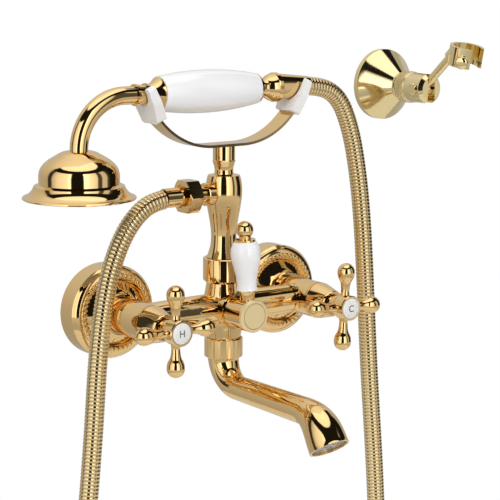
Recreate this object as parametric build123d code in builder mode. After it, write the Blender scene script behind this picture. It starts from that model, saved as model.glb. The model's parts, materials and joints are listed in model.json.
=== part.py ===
from build123d import *
import os
from math import cos, pi, radians, sin, tan

os.makedirs("parts", exist_ok=True)

# A wall mounted bath and shower mixer. The wall is the plane Y = 0, the set stands out of it
# along -Y, X runs to the right along the wall and Z is up. The origin is on the wall, midway
# between the two inlets. All lengths are in millimetres.

# Fits shared by all pieces
running_fit = 0.05  # radial room of a shaft, spigot or thread in its hole
seat_gap = 0.3  # room between curved faces of pieces that only rest together
cut_overrun = 1  # how far a cut runs past the face that it opens
edge_break = 0.5  # small chamfer on turned edges
wall_thickness = 1.6  # cast and spun covers

# Main layout. Lengths of turned pieces are stacked along their axis further down
inlet_spacing = 150
body_reach = 50  # wall to the axis of the body
half_spacing = inlet_spacing / 2

# Valve barrels, which the bar joins at the axis of the body
barrel_radius = 13.5
barrel_back_length = 12.7
barrel_front_length = 19
barrel_groove_depth = 0.3
barrel_groove_width = 0.6
barrel_groove_setback = 1
barrel_back_depth = body_reach - barrel_back_length
barrel_front_depth = body_reach + barrel_front_length
valve_chamber_radius = 9
valve_chamber_back_length = 6
valve_seat_depth = body_reach - valve_chamber_back_length
port_radius = 6
bar_bore_radius = 5.6
riser_port_radius = 5.2

# Bar between the barrels
bar_middle_radius = 11.7
bar_end_radius = 10.4
bar_collar_radius = 11.8
bar_collar_width = 2.4
bar_collar_setback = 14.8
bar_collar_place = half_spacing - bar_collar_setback

# Union nuts, held by the lip of the body's spigot, and the inlet unions behind them
union_shank_radius = 11.4
union_nut_wall = 1.6
spigot_lip_room = 0.2
spigot_lip_rise = 1.6
inlet_washer_room = 0.1
union_nut_radius = union_shank_radius + union_nut_wall
spigot_lip_radius = union_shank_radius - spigot_lip_room
spigot_neck_radius = spigot_lip_radius - spigot_lip_rise
inlet_washer_radius = union_shank_radius - inlet_washer_room
union_nut_length = 10.5
union_nut_web = 2
spigot_lip_thickness = 2
inlet_washer_thickness = 2
union_nut_front_depth = barrel_back_depth - seat_gap
union_nut_back_depth = union_nut_front_depth - union_nut_length
lip_front = union_nut_front_depth - union_nut_web - running_fit
lip_back = lip_front - spigot_lip_thickness
union_front_depth = lip_back - inlet_washer_thickness
inlet_thread_radius = 10.48
inlet_thread_length = 15
inlet_thread_root = 1.5
union_hex_flats = 24
union_hex_start = 3
union_hex_length = 8
waterway_radius = 7.5

# Wall flanges
flange_radius = 34.4
flange_rim_setback = 9.7  # behind the back of the union nut
flange_dome_radius = 31.9
flange_dome_rise = 2.5
bead_band_rise = 1.3
bead_band_outer_radius = 29
bead_band_inner_radius = 25.6
bead_height = 1.2
dish_radius = 24.4
dish_drop = 1.2
cone_rise = 6.4
boss_wall = 2.1
cone_foot_step = 1
boss_length = 4.2
flange_web_thickness = 2
flange_web_room = 1.5
flange_rim_depth = union_nut_back_depth - flange_rim_setback
flange_dome_depth = flange_rim_depth + flange_dome_rise
bead_band_depth = flange_dome_depth + bead_band_rise
dish_depth = bead_band_depth - dish_drop
cone_foot_depth = dish_depth + cone_rise
boss_radius = union_nut_radius + seat_gap + boss_wall
cone_foot_radius = boss_radius + cone_foot_step
boss_depth = cone_foot_depth + boss_length
flange_web_depth = union_nut_back_depth - flange_web_room - flange_web_thickness

# Upright barrel of the body
centre_radius = 14.4
centre_neck_radius = 12.6
centre_top_height = 19.4
centre_bottom_height = -21.6
riser_spigot_radius = 12.2
riser_spigot_length = 9.6
riser_spigot_height = centre_top_height + riser_spigot_length
spout_spigot_radius = 12.1
spout_spigot_length = 9.4
spout_spigot_height = centre_bottom_height - spout_spigot_length

# Diverter boss, cartridge and drum, all about the axis that points away from the wall
diverter_boss_radius = 13.4
diverter_boss_length = 16
diverter_chamber_radius = 8
diverter_chamber_back_length = 10
diverter_cartridge_setback = 2
diverter_cartridge_body_length = 9
diverter_cartridge_tail_radius = 5
diverter_flange_radius = 9.4
diverter_flange_thickness = 1.6
diverter_gland_radius = 6
diverter_gland_length = 7
diverter_spindle_radius = 3.5
drum_radius = 12
drum_length = 19.9
drum_bottom_length = 3.2
drum_skirt_room = 2
disc_thickness = 3
disc_edge_break = 0.8
disc_spigot_radius = 8
disc_spigot_length = 1.6
disc_ring_radius = 9.4
disc_ring_width = 0.5
disc_ring_depth = 0.3
diverter_boss_depth = body_reach + diverter_boss_length
diverter_chamber_back = body_reach - diverter_chamber_back_length
diverter_cartridge_back = diverter_chamber_back + diverter_cartridge_setback
diverter_cartridge_step = diverter_boss_depth - diverter_cartridge_body_length
diverter_gland_depth = diverter_boss_depth + diverter_gland_length
diverter_spindle_back = diverter_cartridge_step + cut_overrun
drum_back = diverter_boss_depth + seat_gap
drum_front_depth = drum_back + drum_length
drum_skirt_depth = diverter_gland_depth + drum_skirt_room
drum_socket_depth = drum_front_depth - drum_bottom_length
drum_disc_depth = drum_front_depth + disc_thickness

# Diverter lever, which stands on the drum and leans a little towards the hot side
lever_lean = 3
lever_place_share = 0.72  # of the drum's length, from its back
lever_neck_radius = 6.5
lever_neck_waist_radius = 5.6
lever_neck_length = 6.8
lever_neck_hole_depth = 4.4
lever_rod_radius = 3
lever_rod_setback = 3.6
grip_bottom_radius = 7.7
grip_mid_radius = 9
grip_mid_share = 0.43  # of the grip's length
grip_max_radius = 10.4
grip_top_radius = 7.8
grip_length = 35.5
grip_max_share = 0.86  # of the grip's length
finial_collar_radius = 7.5
finial_collar_length = 1.9
finial_neck_radius = 4.3
finial_neck_length = 2
finial_ball_radius = 6.3
finial_ball_share = 0.7  # of the ball's radius, above its neck
lever_depth = drum_back + drum_length * lever_place_share
lever_rod_start = drum_radius - lever_rod_setback
lever_neck_top = drum_radius + lever_neck_length
grip_top = lever_neck_top + grip_length
grip_mid_height = lever_neck_top + grip_length * grip_mid_share
grip_max_height = lever_neck_top + grip_length * grip_max_share
finial_collar_top = grip_top + finial_collar_length
finial_neck_top = finial_collar_top + finial_neck_length
finial_ball_height = finial_neck_top + finial_ball_radius * finial_ball_share

# Valve cartridges, bonnets and spindles
bonnet_length = 16.7
bonnet_front_radius = 9.6
bonnet_waist_radius = 11.6
bonnet_waist_share = 0.52  # of the bonnet's length
bonnet_wall = 1.5
cartridge_tail_radius = 6.4
cartridge_tail_setback = 1.5
cartridge_body_length = 12
cartridge_hex_flats = 17
cartridge_hex_length = 6
cartridge_gland_radius = 6.2
cartridge_gland_setback = 2
spindle_radius = 4
spindle_root_length = 5
bonnet_back_depth = barrel_front_depth + seat_gap
bonnet_front_depth = bonnet_back_depth + bonnet_length
bonnet_waist_depth = bonnet_back_depth + bonnet_length * bonnet_waist_share
cartridge_tail_back = valve_seat_depth + cartridge_tail_setback
cartridge_step_depth = barrel_front_depth - cartridge_body_length
cartridge_hex_front = barrel_front_depth + cartridge_hex_length
cartridge_gland_front = bonnet_front_depth - cartridge_gland_setback
spindle_back_depth = cartridge_step_depth - spindle_root_length

# Cross handles
handle_neck_radius = 7.6
handle_neck_length = 8.1
handle_hub_radius = 9.3
handle_hub_length = 12.2
handle_web_thickness = 2.6
handle_arm_count = 4
handle_arm_share = 0.3525  # of the hub's length, from its back
arm_root_radius = 4.6
arm_root_share = 0.75  # of the hub's radius
arm_waist_radius = 3.2
arm_waist_length = 4.1
arm_swell_radius = 4.2
arm_swell_length = 5.6
arm_ball_radius = 6.4
arm_ball_length = 7.3
cold_handle_turn = 3
index_radius = 7.4
index_thickness = 2.2
index_seat_depth = 1.8
index_room = 1.6
index_edge = 0.4
handle_screw_head_radius = 3.2
handle_screw_head_length = 2.6
handle_screw_radius = 1.9
handle_screw_length = 8
handle_neck_start = bonnet_front_depth + seat_gap
handle_hub_back = handle_neck_start + handle_neck_length
handle_hub_front = handle_hub_back + handle_hub_length
handle_depth = handle_hub_back + handle_hub_length * handle_arm_share
arm_root_reach = handle_hub_radius * arm_root_share
arm_waist_reach = handle_hub_radius + arm_waist_length
arm_swell_reach = arm_waist_reach + arm_swell_length
arm_ball_reach = arm_swell_reach + arm_ball_length
index_back_depth = handle_hub_front - index_seat_depth
index_front_depth = index_back_depth + index_thickness
screw_seat_depth = index_back_depth - index_room - handle_screw_head_length
spindle_front_depth = screw_seat_depth - handle_web_thickness

# Riser
riser_nut_radius = 15.2
riser_nut_setback = 0.4
riser_nut_chamfer = 1.8
riser_nut_web = 4.6
riser_washer_thickness = 1.6
riser_collar_radius = 12
riser_collar_length = 2.4
riser_shank_radius = 11.2
riser_base_radius = 12.7
riser_waist_radius = 9.4
riser_waist_rise = 17.8
riser_bulge_radius = 13.4
riser_bulge_rise = 30.6
riser_shoulder_radius = 11.7
riser_shoulder_rise = 12
riser_shoulder_edge = 1
riser_neck_radius = 7.1
riser_neck_length = 6.8
riser_bead_radius = 8.5
riser_bead_length = 3.4
riser_top_radius = 8.1
riser_top_length = 10.2
riser_bore_radius = 5
riser_bore_rise = 8.5
riser_foot = riser_spigot_height + riser_washer_thickness
riser_collar_top = riser_foot + riser_collar_length
riser_nut_bottom = centre_top_height + riser_nut_setback
riser_nut_web_bottom = riser_collar_top + seat_gap
riser_nut_top = riser_nut_web_bottom + riser_nut_web
riser_base_bottom = riser_nut_top + seat_gap
riser_waist_height = riser_base_bottom + riser_waist_rise
riser_bulge_height = riser_waist_height + riser_bulge_rise
riser_shoulder_height = riser_bulge_height + riser_shoulder_rise
riser_neck_bottom = riser_shoulder_height + riser_shoulder_edge
riser_neck_top = riser_neck_bottom + riser_neck_length
riser_bead_top = riser_neck_top + riser_bead_length
riser_top = riser_bead_top + riser_top_length

# Shower outlet on the riser, pointing to the left
outlet_drop = 1.1  # below the widest place of the riser
outlet_root_radius = 5.4
outlet_root_reach = 4
outlet_seat_depth = 1.2
outlet_disc_radius = 8.5
outlet_disc_length = 5.4
outlet_neck_radius = 6.3
outlet_neck_length = 8.7
outlet_thread_radius = 10.2
outlet_thread_length = 3.7
outlet_washer_thickness = 2
hose_bore_radius = 4.6
hose_nut_flats = 23
hose_nut_web = 2.3
hose_nut_chamfer = 1.4
hose_nut_recess_radius = 8.8
hose_nut_recess_depth = 1
ferrule_flange_radius = 10
ferrule_flange_thickness = 2.2
ferrule_radius = 7
ferrule_length = 20.3
ferrule_grip_length = 13.3
outlet_height = riser_bulge_height - outlet_drop
riser_bore_top = outlet_height + riser_bore_rise
outlet_seat_reach = riser_bulge_radius - outlet_seat_depth
outlet_disc_reach = outlet_seat_reach + outlet_disc_length
outlet_thread_start = outlet_disc_reach + outlet_neck_length
outlet_thread_end = outlet_thread_start + outlet_thread_length
washer_end = outlet_thread_end + outlet_washer_thickness
flange_end = washer_end + ferrule_flange_thickness
hose_nut_start = outlet_thread_start - seat_gap
hose_nut_web_start = flange_end + seat_gap
hose_nut_end = hose_nut_web_start + hose_nut_web
ferrule_end = washer_end + ferrule_length
ferrule_seat = ferrule_end - ferrule_grip_length

# Cradle
strap_width = 16
strap_thickness = 2
left_foot_setback = 3.26267  # from the grip to the foot of the left yoke
right_foot_setback = 11.16267  # from the start of the cone nut to the foot of the right yoke
strap_bend_radius = 60
strap_bend_turn = 50
strap_end_run = 5
cradle_screw_radius = 2.5
cradle_screw_head_radius = 5
cradle_screw_length = 16
cradle_rise = 40.4  # top of the riser to the axis of the handset
yoke_base_half_width = 9.6
yoke_tip_half_width = 13
yoke_prong_rise = 6
yoke_tip_thickness = 6
yoke_thickness = 9
yoke_foot = 1
yoke_corner = 2.4
yoke_left_lean = 24
yoke_right_lean = 24

# Handset, lying along X in the cradle
handset_height = riser_top + cradle_rise
handset_grip_left = -56.7
handset_grip_length = 83.5
handset_grip_radius = 15.5
handset_grip_max_share = 0.45  # of the grip's length, from the left
grip_left_radius = 12.4
grip_right_radius = 11.3
handset_tube_radius = 4.6
handset_tube_bore = 3.4
collar_neck_radius = 6.9
collar_neck_length = 7
collar_ring_radius = 7.9
collar_ring_width = 1.8
collar_ring_length = 3.2
collar_bell_radius = 11.8
collar_bell_length = 8.3
collar_bell_mid_radius = 8.1
collar_bell_mid_share = 0.33  # of the bell's length
elbow_radius = 6.4
elbow_bore_radius = 4.4
elbow_bend_radius = 36.4
elbow_straight_length = 8.4
elbow_ring_radius = 7.7
elbow_ring_width = 2
end_cap_width = 1.8
end_neck_radius = 6.2
end_neck_length = 6.1
end_bell_setback = 3.1
end_bell_radius = 10.4
end_bell_bulge = 1
end_bell_length = 7.2
end_lip_radius = 10.9
end_lip_width = 3.2
end_thread_radius = 7.2
cone_nut_gap = 0.4
cone_nut_radius = 10.1
cone_nut_end_radius = 6.9
cone_nut_length = 29.2
cone_nut_grip_length = 12
hose_flange_thickness = 2
hose_flange_radius = 6.9
hose_flange_room = 0.1
grip_left = handset_grip_left
grip_right = grip_left + handset_grip_length
grip_max_place = grip_left + handset_grip_length * handset_grip_max_share
collar_bell_start = grip_left - collar_bell_length
collar_bell_mid = collar_bell_start + collar_bell_length * collar_bell_mid_share
collar_ring_place = collar_bell_start - collar_ring_length
elbow_end = collar_ring_place - collar_neck_length
elbow_ring_place = elbow_end - elbow_ring_width
elbow_bend_start = elbow_ring_place - elbow_straight_length
end_neck_place = grip_right + end_neck_length
end_bell_start = end_neck_place + end_bell_setback
end_lip_start = end_bell_start + end_bell_length
end_lip_end = end_lip_start + end_lip_width
cone_nut_start = end_lip_end + cone_nut_gap
cone_nut_end = cone_nut_start + cone_nut_length
cone_nut_web = cone_nut_end - cone_nut_grip_length
hose_seat_place = cone_nut_web - hose_flange_thickness - hose_flange_room
bend_reach = strap_bend_radius * sin(radians(strap_bend_turn))
strap_left_flat = left_foot_setback - grip_left - bend_reach
strap_right_flat = cone_nut_start + right_foot_setback - bend_reach

# Shower head, measured down from the end of the elbow's bend
head_rim_radius = 39.5
head_rim_thickness = 1.6
head_flare_inset = 6.1
head_flare_height_over_rim = 3.8
head_ledge_inset = 2
head_ledge_rise = 3.8
head_dome_inset = 3.3
head_ledge_edge = 1.4
head_wall_height = 4.4
head_shoulder_share = 0.7109375  # from the crown's radius to the dome's
head_shoulder_rise = 9.4
head_crown_radius = 15.3
head_crown_rise = 6.2
head_top_rise = 2.6
head_wall = 1.4
head_boss_radius = 9.5
head_boss_length = 10.2
spray_plate_inset = 4.5
spray_plate_thickness = 1.8
spray_plate_recess = 0.6
spray_ring_count = 3
spray_ring_margin = 6.2
spray_holes_per_ring = 6
spray_hole_radius = 0.9
head_flare_radius = head_rim_radius - head_flare_inset
head_ledge_radius = head_flare_radius - head_ledge_inset
head_dome_radius = head_ledge_radius - head_dome_inset
head_dome_widening = head_dome_radius - head_crown_radius
head_shoulder_radius = head_crown_radius + head_dome_widening * head_shoulder_share
spray_plate_radius = head_rim_radius - spray_plate_inset
spray_ring_pitch = (spray_plate_radius - spray_ring_margin) / spray_ring_count
bend_centre_z = handset_height - elbow_bend_radius
head_x = elbow_bend_start - elbow_bend_radius
head_top = bend_centre_z + seat_gap
head_crown_height = head_top - head_top_rise
head_shoulder_height = head_crown_height - head_crown_rise
head_dome_wall_top = head_shoulder_height - head_shoulder_rise
head_dome_bottom = head_dome_wall_top - head_wall_height
head_ledge_height = head_dome_bottom - head_ledge_edge
head_flare_height = head_ledge_height - head_ledge_rise
head_bottom = head_flare_height - head_flare_height_over_rim - head_rim_thickness
head_boss_bottom = head_top - head_boss_length

# Spout
spout_nut_radius = 14.2
spout_nut_setback = 0.4
spout_nut_web = 3.4
spout_shank_radius = 10
spout_shank_length = 18
spout_collar_radius = 11.6
spout_collar_thickness = 1.2
spout_neck_radius = 10.8
spout_tube_radius = 11.7
spout_bend_radius = 20.5
spout_bend_end_radius = 9
spout_run_end_radius = 9.8
spout_run_length = 77
spout_drop_radius = 28.8
spout_drop_turn = 55
spout_bell_length = 10
spout_bell_radius = 14.5
spout_bell_wall = 1.6
spout_bore_radius = 7.5
aerator_seat_depth = 9
aerator_length = 5.4
aerator_recess = 2.2
aerator_hole_radius = 1
aerator_hole_count = 8
o_ring_thickness = 1
o_ring_setback = 7
spout_shank_top = spout_spigot_height + spout_shank_length
spout_socket_height = spout_shank_top + cut_overrun
spout_nut_top = centre_bottom_height - spout_nut_setback
collar_top = spout_spigot_height - seat_gap
collar_bottom = collar_top - spout_collar_thickness
spout_nut_web_top = collar_bottom - seat_gap
spout_nut_bottom = spout_nut_web_top - spout_nut_web
spout_tube_top = spout_nut_bottom - seat_gap
o_ring_height = spout_shank_top - o_ring_setback

# Hand shower bracket, which stands by itself on the same wall
bracket_x = 190
bracket_z = 153
rose_radius = 28
rose_rim_depth = 4.4
rose_cone_length = 21.1
rose_cone_radius = 9.8
rose_ring_radius = 10.8
rose_ring_length = 2.5
rose_stud_radius = 5
rose_stud_length = 7
wall_plate_radius = 20
wall_plate_thickness = 3
wall_screw_radius = 2
wall_screw_neck_radius = 2.2
wall_screw_neck_overhang = 0.5
wall_screw_head_radius = 4
wall_screw_head_height = 2.2
wall_screw_thread_length = 12.5
wall_screw_spacing = 26
knuckle_radius = 12.2
knuckle_length = 12.7
knuckle_edge = 1.6
knuckle_web = 3.7
clevis_shank_radius = 9.2
clevis_shank_room = 1
clevis_radius = 11.6
clevis_length = 19.7
clevis_edge = 2.6
clevis_slot_width = 7
clevis_bottom = 2.7
pivot_rise = 8
pivot_radius = 3.2
pivot_head_radius = 4.6
pivot_head_length = 1.4
arm_rise = 41
arm_radius = 3.3
arm_length = 45
arm_eye_radius = 6.4
arm_eye_width = 6.4
clip_setback = 8.85
clip_side_step = 9.7
clip_tilt = 12
clip_outer_radius = 13
clip_inner_radius = 10.2
clip_height = 15
clip_mouth_width = 14
clip_mouth_turn = 8
clip_boss_radius = 5
clip_boss_length = 5
button_turn = 54
button_drop = 2.6
button_radius = 5.2
button_shank_radius = 2
button_shank_length = 2.6
button_rise = 3.4
rose_cone_depth = rose_rim_depth + rose_cone_length
rose_ring_depth = rose_cone_depth + rose_ring_length
rose_stud_depth = rose_ring_depth + rose_stud_length
knuckle_back = rose_ring_depth + seat_gap
knuckle_front = knuckle_back + knuckle_length
knuckle_web_front = knuckle_back + knuckle_web
clevis_shank_back = rose_stud_depth + clevis_shank_room
clevis_back = knuckle_front + seat_gap
clevis_front = clevis_back + clevis_length
clevis_slot_back = clevis_back + clevis_bottom
pivot_depth = clevis_slot_back + pivot_rise

# Shower hose. The route lies in the plane of the body's axis; X and Z of each corner
hose_radius = 7
hose_end_radius = 5.8
hose_valley_radius = 6.2
hose_rib_count = 100
hose_end_length = 14
hose_start_run = 30.5
hose_tail_run = 25.5
rib_circle_shares = (0.1, 0.25, 0.75, 0.9)
route_tangent_share = 0.45
hose_route = [
    (hose_seat_place, handset_height),
    (hose_seat_place + hose_start_run, handset_height),
    (114.5, 147.7),
    (127.4, 126.6),
    (134.2, 97.6),
    (138.9, 53),
    (142.1, -5),
    (143.5, -75),
    (149.5, -160),
    (154, -245),
    (152, -330),
    (133, -400),
    (95, -452),
    (45, -482),
    (-8, -487),
    (-60, -471),
    (-100, -436),
    (-125, -384),
    (-134, -318),
    (-131, -243),
    (-121, -160),
    (-114.5, -88),
    (-112, -22),
    (-109.6, 23),
    (-101.2, 53.5),
    (-87, 73.5),
    (-ferrule_seat - hose_tail_run, outlet_height),
    (-ferrule_seat, outlet_height),
]

forward = (0, -1, 0)
rightward = (1, 0, 0)
leftward = (-1, 0, 0)
upward = (0, 0, 1)


def turning_plane(centre, along, radius_way=upward):
    """A sketch plane for a turned piece: its X runs along the axis and its Y is the radius."""
    return Plane(origin=centre, x_dir=along, z_dir=Vector(*along).cross(Vector(*radius_way)))


def spin(plane):
    """Turns the pending outline about the X axis of the plane that it was drawn on."""
    revolve(axis=Axis(plane.origin, plane.x_dir))


def across(plane, distance):
    """The plane square to a turning plane's axis, at a distance along it."""
    return Plane(
        origin=plane.origin + plane.x_dir * distance,
        x_dir=plane.y_dir,
        z_dir=plane.x_dir,
    )


def turned(plane, outline, mode=Mode.ADD):
    """Adds or cuts a turned solid whose outline is given as (along, radius) corners."""
    with BuildSketch(plane) as profile:
        with BuildLine():
            Polyline(*outline, close=True)
        make_face()
    revolve(profile.sketch, axis=Axis(plane.origin, plane.x_dir), mode=mode)


def turned_ring(plane, start, end, outer, inner=0, mode=Mode.ADD):
    """Adds or cuts a plain round length between two places on the axis."""
    turned(plane, [(start, inner), (start, outer), (end, outer), (end, inner)], mode)


body_plane = turning_plane((0, -body_reach, 0), rightward)
column_plane = turning_plane((0, -body_reach, 0), upward, forward)
diverter_plane = turning_plane((0, 0, 0), forward)
handset_plane = turning_plane((0, -body_reach, handset_height), rightward)
valve_planes = {
    "hot": turning_plane((-half_spacing, 0, 0), forward),
    "cold": turning_plane((half_spacing, 0, 0), forward),
}

# Mixer body: bar, two valve barrels with their spigots, upright barrel and diverter boss
with BuildPart() as mixer_body:
    with BuildSketch(body_plane):
        with BuildLine():
            bar_top = Spline(
                (-half_spacing, bar_end_radius),
                (0, bar_middle_radius),
                (half_spacing, bar_end_radius),
            )
            Polyline(bar_top @ 1, (half_spacing, 0), (-half_spacing, 0), bar_top @ 0)
        make_face()
    spin(body_plane)
    turned(
        column_plane,
        [
            (centre_bottom_height, 0),
            (centre_bottom_height, centre_neck_radius),
            (centre_bottom_height / 2, centre_radius),
            (centre_top_height / 2, centre_radius),
            (centre_top_height, centre_neck_radius),
            (centre_top_height, 0),
        ],
    )
    turned_ring(diverter_plane, body_reach, diverter_boss_depth, diverter_boss_radius)
    for valve_plane in valve_planes.values():
        turned(
            valve_plane,
            [
                (barrel_back_depth, 0),
                (barrel_back_depth, barrel_radius - edge_break),
                (barrel_back_depth + edge_break, barrel_radius),
                (barrel_front_depth, barrel_radius),
                (barrel_front_depth, 0),
            ],
        )
    turned_ring(
        body_plane,
        bar_collar_place - bar_collar_width / 2,
        bar_collar_place + bar_collar_width / 2,
        bar_collar_radius,
    )
    for valve_plane in valve_planes.values():
        turned_ring(valve_plane, lip_back, lip_front, spigot_lip_radius)
        turned_ring(valve_plane, lip_front, barrel_back_depth, spigot_neck_radius)
        groove_front = barrel_front_depth - barrel_groove_setback
        turned_ring(
            valve_plane,
            groove_front - barrel_groove_width,
            groove_front,
            barrel_radius + cut_overrun,
            barrel_radius - barrel_groove_depth,
            Mode.SUBTRACT,
        )
        turned_ring(
            valve_plane, lip_back - cut_overrun, valve_seat_depth, port_radius, 0, Mode.SUBTRACT
        )
        turned_ring(
            valve_plane,
            valve_seat_depth,
            barrel_front_depth + cut_overrun,
            valve_chamber_radius,
            0,
            Mode.SUBTRACT,
        )
    turned_ring(column_plane, centre_top_height, riser_spigot_height, riser_spigot_radius)
    turned_ring(column_plane, spout_spigot_height, centre_bottom_height, spout_spigot_radius)
    turned_ring(body_plane, -half_spacing, half_spacing, bar_bore_radius, 0, Mode.SUBTRACT)
    turned_ring(
        column_plane,
        spout_socket_height,
        riser_spigot_height + cut_overrun,
        riser_port_radius,
        0,
        Mode.SUBTRACT,
    )
    turned_ring(
        column_plane,
        spout_spigot_height - cut_overrun,
        spout_socket_height,
        spout_shank_radius + running_fit,
        0,
        Mode.SUBTRACT,
    )
    turned_ring(
        diverter_plane,
        diverter_chamber_back,
        diverter_boss_depth + cut_overrun,
        diverter_chamber_radius,
        0,
        Mode.SUBTRACT,
    )
mixer_body.part.label = "mixer_body"
export_step(mixer_body.part, "parts/mixer_body.step")

# Wall flanges, unions, nuts, cartridges, bonnets and handles, one set for each valve
for side, valve_plane in valve_planes.items():
    flange_bore = union_shank_radius + seat_gap
    nut_recess = union_nut_radius + seat_gap
    with BuildPart() as wall_flange:
        with BuildSketch(valve_plane):
            with BuildLine():
                dome = ThreePointArc(
                    (flange_rim_depth, flange_radius - edge_break),
                    (flange_dome_depth, flange_dome_radius),
                    (bead_band_depth, bead_band_outer_radius),
                )
                bead = ThreePointArc(
                    dome @ 1,
                    (
                        bead_band_depth + bead_height,
                        (bead_band_outer_radius + bead_band_inner_radius) / 2,
                    ),
                    (bead_band_depth, bead_band_inner_radius),
                )
                web_front = flange_web_depth + flange_web_thickness
                inside_rim = flange_radius - wall_thickness
                Polyline(
                    bead @ 1,
                    (dish_depth, dish_radius),
                    (cone_foot_depth, cone_foot_radius),
                    (cone_foot_depth + edge_break, boss_radius),
                    (boss_depth - edge_break, boss_radius),
                    (boss_depth, boss_radius - edge_break),
                    (boss_depth, nut_recess),
                    (web_front, nut_recess),
                    (web_front, flange_bore),
                    (flange_web_depth, flange_bore),
                    (flange_web_depth, boss_radius),
                    (dish_depth - wall_thickness, dish_radius),
                    (bead_band_depth - wall_thickness, bead_band_inner_radius + wall_thickness),
                    (flange_rim_depth - wall_thickness, inside_rim),
                    (0, inside_rim),
                    (0, flange_radius),
                    (flange_rim_depth - edge_break, flange_radius),
                    dome @ 0,
                )
            make_face()
        spin(valve_plane)
    wall_flange.part.label = f"{side}_wall_flange"
    export_step(wall_flange.part, f"parts/{side}_wall_flange.step")

    with BuildPart() as inlet_union:
        turned(
            valve_plane,
            [
                (-inlet_thread_length, waterway_radius),
                (-inlet_thread_length, inlet_thread_radius),
                (inlet_thread_root, inlet_thread_radius),
                (inlet_thread_root, union_shank_radius),
                (union_front_depth, union_shank_radius),
                (union_front_depth, waterway_radius),
            ],
        )
        with BuildSketch(across(valve_plane, union_hex_start)):
            RegularPolygon(union_hex_flats / 2, 6, major_radius=False)
            Circle(union_shank_radius - edge_break, mode=Mode.SUBTRACT)
        extrude(amount=union_hex_length)
    inlet_union.part.label = f"{side}_inlet_union"
    export_step(inlet_union.part, f"parts/{side}_inlet_union.step")

    with BuildPart() as union_nut:
        nut_bore = union_shank_radius + running_fit
        neck_hole = spigot_neck_radius + seat_gap
        turned(
            valve_plane,
            [
                (union_nut_back_depth, nut_bore),
                (union_nut_back_depth, union_nut_radius - edge_break),
                (union_nut_back_depth + edge_break, union_nut_radius),
                (union_nut_front_depth - edge_break, union_nut_radius),
                (union_nut_front_depth, union_nut_radius - edge_break),
                (union_nut_front_depth, neck_hole),
                (lip_front + running_fit, neck_hole),
                (lip_front + running_fit, nut_bore),
            ],
        )
    union_nut.part.label = f"{side}_union_nut"
    export_step(union_nut.part, f"parts/{side}_union_nut.step")

    with BuildPart() as cartridge:
        spindle_hole = spindle_radius + running_fit
        turned(
            valve_plane,
            [
                (cartridge_tail_back, 0),
                (cartridge_tail_back, cartridge_tail_radius),
                (cartridge_step_depth, cartridge_tail_radius),
                (cartridge_step_depth, valve_chamber_radius - running_fit),
                (barrel_front_depth, valve_chamber_radius - running_fit),
                (barrel_front_depth, cartridge_gland_radius),
                (cartridge_gland_front, cartridge_gland_radius),
                (cartridge_gland_front, spindle_hole),
                (spindle_back_depth - seat_gap, spindle_hole),
                (spindle_back_depth - seat_gap, 0),
            ],
        )
        with BuildSketch(across(valve_plane, barrel_front_depth)):
            RegularPolygon(cartridge_hex_flats / 2, 6, major_radius=False)
            Circle(spindle_hole, mode=Mode.SUBTRACT)
        extrude(amount=cartridge_hex_front - barrel_front_depth)
    cartridge.part.label = f"{side}_cartridge"
    export_step(cartridge.part, f"parts/{side}_cartridge.step")

    with BuildPart() as bonnet:
        gland_hole = cartridge_gland_radius + running_fit
        with BuildSketch(valve_plane):
            with BuildLine():
                shoulder = Spline(
                    (bonnet_back_depth + edge_break, barrel_radius),
                    (bonnet_waist_depth, bonnet_waist_radius),
                    (bonnet_front_depth - edge_break, bonnet_front_radius),
                )
                Polyline(
                    shoulder @ 1,
                    (bonnet_front_depth, bonnet_front_radius - edge_break),
                    (bonnet_front_depth, handle_neck_radius + seat_gap),
                    (cartridge_gland_front - bonnet_wall, handle_neck_radius + seat_gap),
                    (cartridge_gland_front - bonnet_wall, gland_hole),
                    (cartridge_hex_front + seat_gap, gland_hole),
                    (cartridge_hex_front + seat_gap, bonnet_waist_radius - bonnet_wall),
                    (bonnet_back_depth, bonnet_waist_radius - bonnet_wall / 2),
                    (bonnet_back_depth, barrel_radius - edge_break),
                    shoulder @ 0,
                )
            make_face()
        spin(valve_plane)
    bonnet.part.label = f"{side}_bonnet"
    export_step(bonnet.part, f"parts/{side}_bonnet.step")

    with BuildPart() as spindle:
        turned_ring(valve_plane, spindle_back_depth, spindle_front_depth, spindle_radius)
        turned_ring(
            valve_plane,
            spindle_front_depth - handle_screw_length,
            spindle_front_depth + cut_overrun,
            handle_screw_radius + running_fit,
            0,
            Mode.SUBTRACT,
        )
    spindle.part.label = f"{side}_spindle"
    export_step(spindle.part, f"parts/{side}_spindle.step")

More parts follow.
